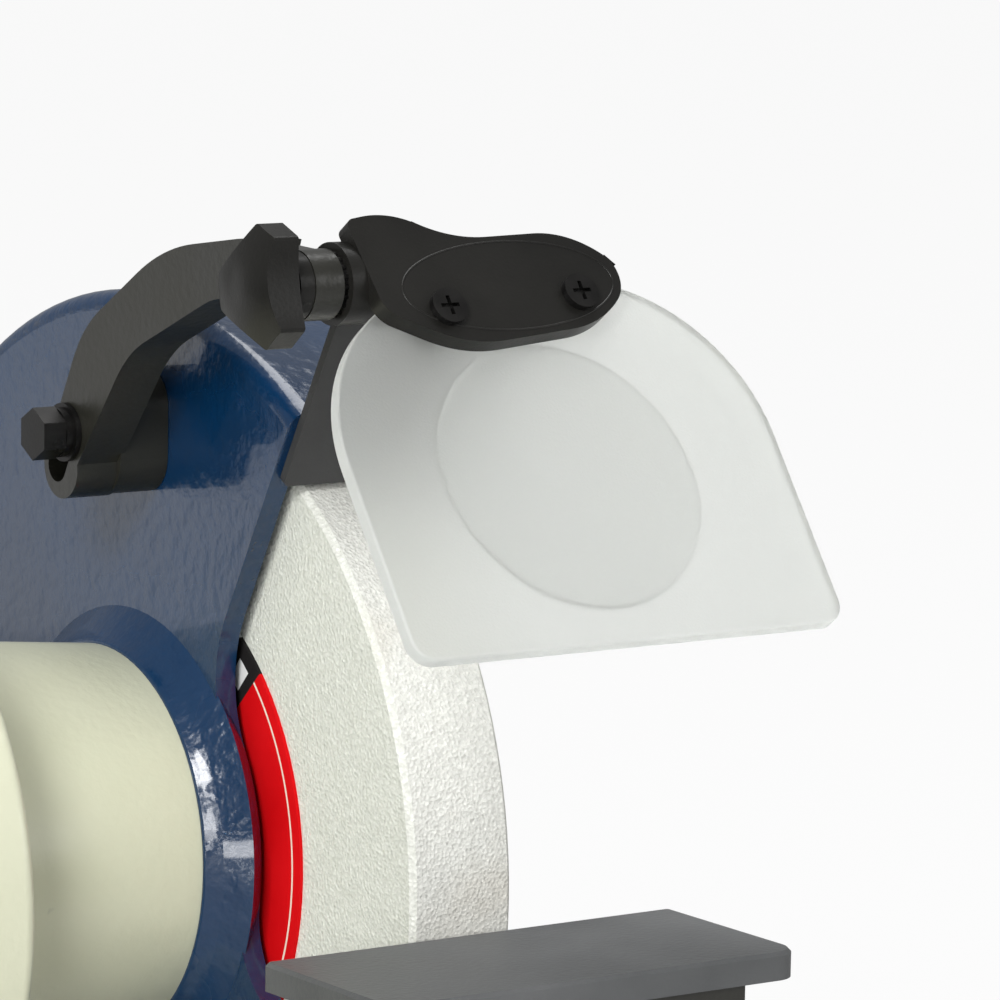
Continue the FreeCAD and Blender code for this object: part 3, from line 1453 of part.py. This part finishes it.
faults = ["%s: %s" % (o.Label, o.State) for o in doc.Objects if "Invalid" in o.State or "Error" in o.State]
faults += [label for label, obj in NODES.items() if obj.Shape.isNull() or not obj.Shape.isValid()]
if faults:
    raise ValueError("failed: " + "; ".join(faults))

os.makedirs("parts", exist_ok=True)
for label, obj in sorted(NODES.items()):
    obj.Shape.exportStep("parts/%s.step" % label)
print("%d sub-parts written" % len(NODES))
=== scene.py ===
import math

import bpy
from mathutils import Matrix, Vector


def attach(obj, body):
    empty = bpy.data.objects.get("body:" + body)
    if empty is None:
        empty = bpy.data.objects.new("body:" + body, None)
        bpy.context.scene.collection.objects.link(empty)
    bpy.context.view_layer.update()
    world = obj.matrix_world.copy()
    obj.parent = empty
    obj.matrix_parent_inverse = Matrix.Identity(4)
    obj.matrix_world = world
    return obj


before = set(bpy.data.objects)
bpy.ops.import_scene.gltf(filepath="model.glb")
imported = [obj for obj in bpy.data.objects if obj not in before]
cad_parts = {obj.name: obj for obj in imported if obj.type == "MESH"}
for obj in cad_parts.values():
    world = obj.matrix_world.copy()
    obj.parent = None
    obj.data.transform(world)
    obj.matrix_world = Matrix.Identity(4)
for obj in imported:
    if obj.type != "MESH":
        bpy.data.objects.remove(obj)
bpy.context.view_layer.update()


# Base casting, motor shell and end bells.
# Grey iron and steel sprayed with one thick coat of cream enamel, which dries with a fine orange
# peel and gets knocked off in small chips.

def build_finish_marks():
    """The group every finish shares: broad patches, fine grain and scattered pits, by position."""
    group = bpy.data.node_groups.new("finish_marks", "ShaderNodeTree")
    sockets = group.interface
    scales = (("Patch Scale", 12.0), ("Grain Scale", 500.0), ("Pit Scale", 160.0), ("Pit Share", 0.06))
    for name, default in scales:
        socket = sockets.new_socket(name, in_out="INPUT", socket_type="NodeSocketFloat")
        socket.default_value = default
    for name in ("Patches", "Grain", "Pits"):
        sockets.new_socket(name, in_out="OUTPUT", socket_type="NodeSocketFloat")
    nodes, links = group.nodes, group.links
    given, made = nodes.new("NodeGroupInput"), nodes.new("NodeGroupOutput")
    place = nodes.new("ShaderNodeTexCoord")
    patches = nodes.new("ShaderNodeTexNoise")
    patches.inputs["Detail"].default_value = 4
    spread = nodes.new("ShaderNodeMapRange")
    spread.inputs["From Min"].default_value = 0.35
    spread.inputs["From Max"].default_value = 0.65
    grain = nodes.new("ShaderNodeTexNoise")
    grain.inputs["Detail"].default_value = 2
    spots = nodes.new("ShaderNodeTexNoise")
    spots.inputs["Detail"].default_value = 3
    spots.inputs["Roughness"].default_value = 0.6
    edge = nodes.new("ShaderNodeMath")
    edge.operation = "SUBTRACT"
    edge.inputs[0].default_value = 0.82
    pits = nodes.new("ShaderNodeMapRange")
    pits.inputs["From Max"].default_value = 0.9
    for texture, scale in ((patches, "Patch Scale"), (grain, "Grain Scale"), (spots, "Pit Scale")):
        links.new(place.outputs["Object"], texture.inputs["Vector"])
        links.new(given.outputs[scale], texture.inputs["Scale"])
    links.new(patches.outputs["Fac"], spread.inputs["Value"])
    links.new(spread.outputs["Result"], made.inputs["Patches"])
    links.new(grain.outputs["Fac"], made.inputs["Grain"])
    links.new(given.outputs["Pit Share"], edge.inputs[1])
    links.new(spots.outputs["Fac"], pits.inputs["Value"])
    links.new(edge.outputs[0], pits.inputs["From Min"])
    links.new(pits.outputs["Result"], made.inputs["Pits"])
    return group


finish_marks = build_finish_marks()


def start_finish(name, scales, metallic=0.0, coat=0.0, coat_roughness=0.1, specular=0.5):
    """A new material holding a Principled shader and the shared marks at this finish's own scales."""
    material = bpy.data.materials.new(name)
    material.use_nodes = True
    nodes = material.node_tree.nodes
    shader = nodes["Principled BSDF"]
    shader.inputs["Metallic"].default_value = metallic
    shader.inputs["Coat Weight"].default_value = coat
    shader.inputs["Coat Roughness"].default_value = coat_roughness
    shader.inputs["Specular IOR Level"].default_value = specular
    marks = nodes.new("ShaderNodeGroup")
    marks.node_tree = finish_marks
    for socket, scale in zip(("Patch Scale", "Grain Scale", "Pit Scale", "Pit Share"), scales):
        marks.inputs[socket].default_value = scale
    return material, shader, marks


def blend_colours(tree, factor, low, high):
    """A colour that runs from low to high. Either may be a colour or a socket."""
    mix = tree.nodes.new("ShaderNodeMix")
    mix.data_type = "RGBA"
    tree.links.new(factor, mix.inputs["Factor"])
    for socket, colour in ((mix.inputs["A"], low), (mix.inputs["B"], high)):
        if isinstance(colour, bpy.types.NodeSocket):
            tree.links.new(colour, socket)
        else:
            socket.default_value = (*colour, 1.0)
    return mix.outputs["Result"]


def ramp(tree, value, low, high, to_low=0.0, to_high=1.0):
    """A value stretched from low..high to a new range and held there."""
    node = tree.nodes.new("ShaderNodeMapRange")
    tree.links.new(value, node.inputs["Value"])
    for socket, number in (("From Min", low), ("From Max", high), ("To Min", to_low), ("To Max", to_high)):
        node.inputs[socket].default_value = number
    return node.outputs["Result"]


def maths(tree, operation, first, second):
    """One maths node over two values. Either may be a number or a socket."""
    node = tree.nodes.new("ShaderNodeMath")
    node.operation = operation
    for socket, given in zip(node.inputs, (first, second)):
        if isinstance(given, bpy.types.NodeSocket):
            tree.links.new(given, socket)
        else:
            socket.default_value = given
    return node.outputs[0]


def raise_grain(tree, shader, height, depth):
    """Relief that is depth metres high where the height is 1."""
    bump = tree.nodes.new("ShaderNodeBump")
    bump.inputs["Strength"].default_value = 1.0
    bump.inputs["Distance"].default_value = depth
    tree.links.new(height, bump.inputs["Height"])
    tree.links.new(bump.outputs["Normal"], shader.inputs["Normal"])


def plain_finish(name, light, dark, roughness, depth, scales, pit_colour=None, **gloss):
    """Two close shades in patches, uneven roughness, grain in relief and, if asked, pits."""
    material, shader, marks = start_finish(name, scales, **gloss)
    tree = material.node_tree
    colour = blend_colours(tree, marks.outputs["Patches"], dark, light)
    if pit_colour:
        colour = blend_colours(tree, marks.outputs["Pits"], colour, pit_colour)
    tree.links.new(colour, shader.inputs["Base Color"])
    tree.links.new(ramp(tree, marks.outputs["Patches"], 0, 1, *roughness), shader.inputs["Roughness"])
    raise_grain(tree, shader, marks.outputs["Grain"], depth)
    return material


def finish_nodes(material, *names):
    """Puts one finish on each of these pieces."""
    for name in names:
        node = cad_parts[name]
        node.data.materials.clear()
        node.data.materials.append(material)


cream_enamel = plain_finish(
    "cream_enamel", (0.68, 0.68, 0.53), (0.62, 0.63, 0.47), (0.30, 0.42), 0.00012, (9, 420, 95, 0.085),
    pit_colour=(0.20, 0.21, 0.19), coat=0.25, coat_roughness=0.2)
finish_nodes(cream_enamel, "base_casting", "motor_shell", "end_bell_left", "end_bell_right")


# Rubber feet, bottom plate and the zinc-plated fixings.
# Feet moulded in black rubber, a plate pressed from sheet, and the plated screws, bolts and nuts
# that hold the base, switch, motor, guards and rests together.

black_rubber = plain_finish(
    "black_rubber", (0.030, 0.030, 0.030), (0.018, 0.018, 0.018), (0.65, 0.8), 0.00008, (20, 900, 200, 0.0))
finish_nodes(black_rubber, "rubber_feet")
zinc_plate = plain_finish(
    "zinc_plate", (0.62, 0.60, 0.54), (0.45, 0.45, 0.43), (0.28, 0.42), 0.00001, (60, 1500, 400, 0.02),
    pit_colour=(0.25, 0.22, 0.18), metallic=1.0)
finish_nodes(zinc_plate, "base_plate", "base_plate_screws", "switch_plate_screws", "through_bolts",
             "guard_cover_screws", "rest_pivot_bolts", "arrester_screws", "arbor_nuts")


# Switch and cord gland.
# A black moulded housing screwed to the sloping face, a glossy red rocker, and a nylon gland behind.
# The knobs under the tool rests are moulded in the same black plastic.

black_moulding = plain_finish(
    "black_moulding", (0.020, 0.020, 0.021), (0.011, 0.011, 0.012), (0.36, 0.5), 0.00003,
    (35, 1600, 300, 0.0), specular=0.45)
finish_nodes(black_moulding, "switch_housing", "cord_gland", "tool_rest_knob_left", "tool_rest_knob_right")
red_rocker = plain_finish(
    "red_rocker", (0.55, 0.018, 0.012), (0.44, 0.012, 0.010), (0.2, 0.32), 0.00002,
    (60, 900, 300, 0.0), coat=0.3)
finish_nodes(red_rocker, "switch_rocker")


# What is inside the motor.
# Stacked electrical steel, varnished copper windings, ball bearings and a drawn capacitor can.

lamination_steel = plain_finish(
    "lamination_steel", (0.30, 0.30, 0.31), (0.22, 0.22, 0.23), (0.4, 0.55), 0.00003, (40, 1200, 300, 0.02),
    pit_colour=(0.16, 0.10, 0.06), metallic=1.0)
finish_nodes(lamination_steel, "stator_core", "rotor_core")
winding_copper = plain_finish(
    "winding_copper", (0.50, 0.19, 0.07), (0.34, 0.11, 0.04), (0.3, 0.45), 0.0003, (50, 650, 300, 0.0),
    metallic=0.8)
finish_nodes(winding_copper, "stator_windings")
turned_steel = plain_finish(
    "turned_steel", (0.60, 0.60, 0.59), (0.50, 0.50, 0.50), (0.22, 0.34), 0.00001, (30, 2200, 400, 0.01),
    pit_colour=(0.25, 0.2, 0.16), metallic=1.0)
finish_nodes(turned_steel, "bearing_left", "bearing_right", "arbor_shaft")
drawn_can = plain_finish(
    "drawn_can", (0.58, 0.58, 0.60), (0.50, 0.50, 0.52), (0.3, 0.4), 0.00002,
    (25, 1400, 400, 0.0), metallic=1.0)
finish_nodes(drawn_can, "start_capacitor")


# Grinding wheels.
# White fused alumina in a vitrified bond: crystals that catch the light on the sides, and a rim that
# carries grey metal specks and a little brown staining from use.

def abrasive_finish():
    """Crystals everywhere, plain on the sides of the wheel, specked and stained round its rim."""
    material, shader, marks = start_finish("white_abrasive", (18, 1500, 520, 0.13), specular=0.4)
    tree = material.node_tree
    nodes, links = tree.nodes, tree.links
    place = nodes.new("ShaderNodeTexCoord")
    split = nodes.new("ShaderNodeSeparateXYZ")
    links.new(place.outputs["Normal"], split.inputs[0])
    side = ramp(tree, maths(tree, "ABSOLUTE", split.outputs["X"], 0.0), 0.55, 0.85)
    crystals = nodes.new("ShaderNodeTexVoronoi")
    crystals.inputs["Scale"].default_value = 1250
    links.new(place.outputs["Object"], crystals.inputs["Vector"])
    sparkle = ramp(tree, crystals.outputs["Color"], 0.25, 0.95)
    stain = nodes.new("ShaderNodeTexNoise")
    stain.inputs["Scale"].default_value = 26
    stain.inputs["Detail"].default_value = 5
    links.new(place.outputs["Object"], stain.inputs["Vector"])
    stained = ramp(tree, stain.outputs["Fac"], 0.50, 0.74)
    side_colour = blend_colours(tree, sparkle, (0.60, 0.615, 0.555), (0.72, 0.735, 0.675))
    rim_colour = blend_colours(tree, sparkle, (0.64, 0.64, 0.60), (0.79, 0.79, 0.745))
    rim_colour = blend_colours(tree, maths(tree, "MULTIPLY", stained, 0.45), rim_colour, (0.50, 0.43, 0.34))
    speck = maths(tree, "MULTIPLY", marks.outputs["Pits"], maths(tree, "ADD", stained, 0.35))
    rim_colour = blend_colours(tree, speck, rim_colour, (0.10, 0.095, 0.085))
    links.new(blend_colours(tree, side, rim_colour, side_colour), shader.inputs["Base Color"])
    links.new(ramp(tree, crystals.outputs["Color"], 0.0, 1.0, 0.85, 0.35), shader.inputs["Roughness"])
    grain = maths(tree, "MULTIPLY", marks.outputs["Grain"], 0.8)
    height = maths(tree, "ADD", crystals.outputs["Distance"], grain)
    raise_grain(tree, shader, height, 0.00022)
    return material


finish_nodes(abrasive_finish(), "grinding_wheel_left", "grinding_wheel_right")


# Wheel labels.
# Blotting-paper discs between wheel and flange, printed red with a fine pale ring near the edge, a
# black band and a white panel for the maker's sizes, here left as plain rules.

SHAFT_HEIGHT = 0.160
LABEL_RING = 0.05635
RING_HALF_WIDTH = 0.0003
BLACK_BAND = (2.18, 2.36)
WHITE_PANEL = (1.88, 2.18)
BAND_RULE = ((2.23, 2.31), (0.0500, 0.0560))
PANEL_RULE = ((1.94, 2.12), (0.0515, 0.0525))


def label_finish():
    """Rings by their radius and bands by their angle about the shaft, in radians from the back."""
    material, shader, marks = start_finish("printed_label", (30, 1800, 400, 0.0), specular=0.04)
    tree = material.node_tree
    nodes, links = tree.nodes, tree.links
    place = nodes.new("ShaderNodeTexCoord")
    split = nodes.new("ShaderNodeSeparateXYZ")
    links.new(place.outputs["Object"], split.inputs[0])
    across = split.outputs["Y"]
    above = maths(tree, "SUBTRACT", split.outputs["Z"], SHAFT_HEIGHT)
    across_squared = maths(tree, "MULTIPLY", across, across)
    squares = maths(tree, "ADD", across_squared, maths(tree, "MULTIPLY", above, above))
    radius = maths(tree, "SQRT", squares, 0.0)
    turn = maths(tree, "ARCTAN2", above, across)

    def between(value, low, high):
        past = maths(tree, "GREATER_THAN", value, low)
        return maths(tree, "MULTIPLY", past, maths(tree, "LESS_THAN", value, high))

    def patch(rule):
        return maths(tree, "MULTIPLY", between(turn, *rule[0]), between(radius, *rule[1]))

    red = blend_colours(tree, marks.outputs["Patches"], (0.56, 0.003, 0.005), (0.66, 0.006, 0.009))
    ring = between(radius, LABEL_RING - RING_HALF_WIDTH, LABEL_RING + RING_HALF_WIDTH)
    ringed = blend_colours(tree, ring, red, (0.80, 0.66, 0.56))
    banded = blend_colours(tree, between(turn, *BLACK_BAND), ringed, (0.016, 0.015, 0.015))
    panel = blend_colours(tree, between(turn, *WHITE_PANEL), banded, (0.70, 0.71, 0.70))
    marked = blend_colours(tree, patch(BAND_RULE), panel, (0.70, 0.71, 0.70))
    marked = blend_colours(tree, patch(PANEL_RULE), marked, (0.05, 0.05, 0.05))
    links.new(marked, shader.inputs["Base Color"])
    links.new(ramp(tree, marks.outputs["Patches"], 0, 1, 0.38, 0.5), shader.inputs["Roughness"])
    raise_grain(tree, shader, marks.outputs["Grain"], 0.00003)
    return material


finish_nodes(label_finish(), "wheel_labels")


# Wheel flanges.
# Turned mild steel washers over a third as wide as the wheel, left bright, that clamp it between two
# paper labels.

finish_nodes(turned_steel, "inner_flanges", "outer_flanges")


# Guards and their outer covers.
# Iron castings and pressed covers under a thick glossy navy enamel that keeps the casting's ripple.
# Three socket screws through each hub hold a guard to its end bell.

def navy_finish():
    """Two navy shades in patches under a clear gloss, with a fine and a coarse ripple."""
    material, shader, marks = start_finish(
        "navy_enamel", (14, 330, 140, 0.02), coat=0.55, coat_roughness=0.06, specular=0.35)
    tree = material.node_tree
    nodes, links = tree.nodes, tree.links
    place = nodes.new("ShaderNodeTexCoord")
    ripple = nodes.new("ShaderNodeTexNoise")
    ripple.inputs["Scale"].default_value = 150
    ripple.inputs["Detail"].default_value = 2
    links.new(place.outputs["Object"], ripple.inputs["Vector"])
    colour = blend_colours(tree, marks.outputs["Patches"], (0.0006, 0.019, 0.060), (0.0012, 0.027, 0.082))
    colour = blend_colours(tree, marks.outputs["Pits"], colour, (0.05, 0.09, 0.13))
    links.new(colour, shader.inputs["Base Color"])
    links.new(ramp(tree, marks.outputs["Patches"], 0, 1, 0.20, 0.32), shader.inputs["Roughness"])
    height = maths(tree, "ADD", marks.outputs["Grain"], maths(tree, "MULTIPLY", ripple.outputs["Fac"], 1.0))
    raise_grain(tree, shader, height, 0.00035)
    return material


navy_enamel = navy_finish()
finish_nodes(navy_enamel, "guard_left", "guard_right", "guard_cover_left", "guard_cover_right")
black_oxide = plain_finish(
    "black_oxide", (0.030, 0.029, 0.028), (0.014, 0.014, 0.014), (0.25, 0.4), 0.00002, (80, 1500, 420, 0.05),
    pit_colour=(0.22, 0.20, 0.18), metallic=0.85)
finish_nodes(black_oxide, "guard_mount_screws", "bracket_bolts", "bracket_washers", "holder_screws_left",
             "holder_screws_right", "clutch_ring_left", "clutch_ring_right", "knob_stud_left",
             "knob_stud_right")


# Spark arresters.
# Flat steel plates with a matt grey-black coat, slotted so that they follow the wheel as it wears.

matt_grey = plain_finish(
    "matt_grey_coat", (0.050, 0.050, 0.050), (0.034, 0.034, 0.035), (0.5, 0.62), 0.00004,
    (30, 1300, 260, 0.03), pit_colour=(0.12, 0.12, 0.12), specular=0.4)
finish_nodes(matt_grey, "spark_arrester_left", "spark_arrester_right")


# Eye shield brackets.
# Malleable iron arms, arched over the wheel, in a satin olive-black enamel with a soft sand texture.

olive_black = plain_finish(
    "olive_black_enamel", (0.022, 0.0215, 0.017), (0.013, 0.013, 0.010), (0.30, 0.42), 0.00010,
    (26, 560, 200, 0.04), pit_colour=(0.09, 0.088, 0.07), specular=0.5)
finish_nodes(olive_black, "shield_bracket_left", "shield_bracket_right", "tool_rest_bracket_left",
             "tool_rest_bracket_right")


# Clamp knobs and shield holders.
# Satin black nylon mouldings. The holder's face carries a thin raised oval bead round its two screws.

satin_nylon = plain_finish(
    "satin_black_nylon", (0.013, 0.0125, 0.011), (0.009, 0.0088, 0.008), (0.27, 0.38), 0.000035,
    (28, 1100, 240, 0.03), pit_colour=(0.07, 0.068, 0.062), specular=0.25)
finish_nodes(satin_nylon, "shield_knob_left", "shield_knob_right", "shield_holder_left",
             "shield_holder_right")
SIDES = {"left": -1, "right": 1}
WHEEL_FACE = 0.168
SHIELD_LEAN = math.radians(36)
PIVOT = (-0.1038, 0.2934)
BEAD_LEVEL = 0.0085
BEAD_MIDDLE = (0.0124, -0.0072)
BEAD_HALF_LENGTH = 0.0262
BEAD_HALF_HEIGHT = 0.0104
BEAD_RISE = 0.02
BEAD_RADIUS = 0.00028
BEAD_POINTS = 96


def on_shield(side, x, up, out):
    """A point given along the shaft from the wheel's face, up the shield and out of its front."""
    return Vector((
        side * (WHEEL_FACE + x),
        PIVOT[0] + up * math.sin(SHIELD_LEAN) - out * math.cos(SHIELD_LEAN),
        PIVOT[1] + up * math.cos(SHIELD_LEAN) + out * math.sin(SHIELD_LEAN),
    ))


def bead(name, points, radius, material):
    """A thin raised bead round a closed line of points."""
    curve = bpy.data.curves.new(name, "CURVE")
    curve.dimensions = "3D"
    curve.bevel_depth = radius
    curve.bevel_resolution = 2
    line = curve.splines.new("POLY")
    line.points.add(len(points) - 1)
    for spot, point in zip(line.points, points):
        spot.co = (*point, 1.0)
    line.use_cyclic_u = True
    curve.materials.append(material)
    piece = bpy.data.objects.new(name, curve)
    bpy.context.scene.collection.objects.link(piece)
    return piece


for side_name, side in SIDES.items():
    oval = []
    for step in range(BEAD_POINTS):
        turn = math.tau * step / BEAD_POINTS
        reach = BEAD_HALF_LENGTH * math.cos(turn)
        rise = BEAD_HALF_HEIGHT * math.sin(turn) + BEAD_RISE * reach
        oval.append(on_shield(side, BEAD_MIDDLE[0] + reach, BEAD_MIDDLE[1] + rise, BEAD_LEVEL))
    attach(bead("holder_bead_" + side_name, oval, BEAD_RADIUS, satin_nylon), "shield_" + side_name)


# Eye shields and their lenses.
# Frosted clear plastic sheet with polished, slightly burred edges. A round lens is bonded behind it.

def frosted_finish(name, tint, roughness, relief, scale, clear):
    """A sheet that lets through a share of the light, blurred by its fine grain."""
    material, shader, marks = start_finish(name, (14, scale, 300, 0.0), specular=0.5)
    tree = material.node_tree
    shader.inputs["Transmission Weight"].default_value = clear
    shader.inputs["IOR"].default_value = 1.35
    tree.links.new(blend_colours(tree, marks.outputs["Patches"], tint, tuple(t * 0.985 for t in tint)),
                   shader.inputs["Base Color"])
    tree.links.new(ramp(tree, marks.outputs["Grain"], 0.3, 0.7, *roughness), shader.inputs["Roughness"])
    raise_grain(tree, shader, marks.outputs["Grain"], relief)
    return material


finish_nodes(frosted_finish("frosted_sheet", (0.76, 0.775, 0.75), (0.40, 0.58), 0.00006, 1900, 0.86),
             "eye_shield_left", "eye_shield_right")
finish_nodes(frosted_finish("bonded_lens", (1.0, 1.0, 1.0), (0.25, 0.4), 0.00002, 900, 0.85),
             "magnifier_lens_left", "magnifier_lens_right")


# Tool rests.
# Cast iron tables with a textured grey coat, worn smoother where the work slides.

grey_iron = plain_finish(
    "grey_iron_coat", (0.115, 0.118, 0.120), (0.075, 0.078, 0.080), (0.45, 0.62), 0.00014,
    (22, 760, 180, 0.05), pit_colour=(0.20, 0.20, 0.20), specular=0.45)
finish_nodes(grey_iron, "tool_rest_left", "tool_rest_right")


# Floor, light and camera.
# A plain pale floor in a plain pale surround, large soft lights and a small low one, and a long lens.

floor_mesh = bpy.data.meshes.new("floor")
floor_mesh.from_pydata([(-9, -9, 0), (9, -9, 0), (9, 9, 0), (-9, 9, 0)], [], [(0, 1, 2, 3)])
floor = bpy.data.objects.new("floor", floor_mesh)
floor.location.z = -0.0002
floor_paint = bpy.data.materials.new("floor_paint")
floor_paint.use_nodes = True
floor_nodes, floor_links = floor_paint.node_tree.nodes, floor_paint.node_tree.links
floor_shader = floor_nodes["Principled BSDF"]
floor_shader.inputs["Base Color"].default_value = (0.55, 0.55, 0.55, 1)
floor_shader.inputs["Roughness"].default_value = 0.9
floor_shader.inputs["Specular IOR Level"].default_value = 0.1
glow = floor_nodes.new("ShaderNodeEmission")
glow.inputs["Strength"].default_value = 1.0
shown = floor_nodes.new("ShaderNodeMixShader")
through = floor_nodes.new("ShaderNodeLightPath")
seen = floor_nodes.new("ShaderNodeMath")
seen.operation = "MAXIMUM"
floor_links.new(through.outputs["Is Camera Ray"], seen.inputs[0])
floor_links.new(through.outputs["Is Transmission Ray"], seen.inputs[1])
part_glow = floor_nodes.new("ShaderNodeMapRange")
part_glow.inputs["To Max"].default_value = 0.93
floor_links.new(seen.outputs[0], part_glow.inputs["Value"])
floor_links.new(part_glow.outputs["Result"], shown.inputs["Fac"])
floor_links.new(floor_shader.outputs["BSDF"], shown.inputs[1])
floor_links.new(glow.outputs["Emission"], shown.inputs[2])
floor_links.new(shown.outputs["Shader"], floor_nodes["Material Output"].inputs["Surface"])
floor_mesh.materials.append(floor_paint)
bpy.context.scene.collection.objects.link(floor)


def soft_light(name, place, aim, width, watts):
    """A square light that is itself out of sight."""
    data = bpy.data.lights.new(name, "AREA")
    data.shape = "SQUARE"
    data.size = width
    data.energy = watts
    lamp = bpy.data.objects.new(name, data)
    lamp.location = place
    lamp.visible_camera = False
    lamp.rotation_euler = (Vector(aim) - Vector(place)).to_track_quat("-Z", "Y").to_euler()
    bpy.context.scene.collection.objects.link(lamp)


soft_light("key", (-1.5, -1.3, 1.5), (0.1, 0, 0.18), 0.7, 42)
soft_light("top", (0.5, 0.4, 2.4), (0.1, 0, 0.16), 1.4, 34)
soft_light("front", (-1.3, -1.5, 0.5), (0.1, 0, 0.16), 0.5, 12)
soft_light("fill", (1.9, -1.7, 0.9), (0.1, 0, 0.16), 1.0, 8)
soft_light("behind", (-0.50, 1.05, 0.14), (0.16, 0, 0.2), 0.42, 0.36)
soft_light("gleam", (-0.75, -0.52, 0.1), (0.16, 0, 0.2), 0.1, 0.5)

surround = bpy.data.worlds.new("surround")
surround.use_nodes = True
bpy.context.scene.world = surround
sky_nodes, sky_links = surround.node_tree.nodes, surround.node_tree.links
rays = sky_nodes.new("ShaderNodeLightPath")
straight = sky_nodes.new("ShaderNodeMath")
straight.operation = "MAXIMUM"
sky_links.new(rays.outputs["Is Camera Ray"], straight.inputs[0])
sky_links.new(rays.outputs["Is Transmission Ray"], straight.inputs[1])
level = sky_nodes.new("ShaderNodeMapRange")
level.inputs["To Min"].default_value = 0.34
level.inputs["To Max"].default_value = 1.05
sky_links.new(straight.outputs[0], level.inputs["Value"])
sky_links.new(level.outputs["Result"], sky_nodes["Background"].inputs["Strength"])
sky_nodes["Background"].inputs["Color"].default_value = (1, 1, 1, 1)

lens = bpy.data.cameras.new("camera")
lens.sensor_width = 36
lens.lens = 198
lens.clip_start = 0.01
lens.clip_end = 60
camera = bpy.data.objects.new("camera", lens)
right = Vector((0.82110891, -0.5705043, 0.01746423))
upward = Vector((0.06517735, 0.12411731, 0.99012464))
back = Vector((-0.56703798, -0.8118619, 0.13909779))
facing = Matrix((right, upward, back)).transposed().to_4x4()
camera.matrix_world = Matrix.Translation((-0.46237, -1.03341, 0.40565)) @ facing
bpy.context.scene.collection.objects.link(camera)
bpy.context.scene.camera = camera
bpy.context.scene.view_settings.view_transform = "Standard"
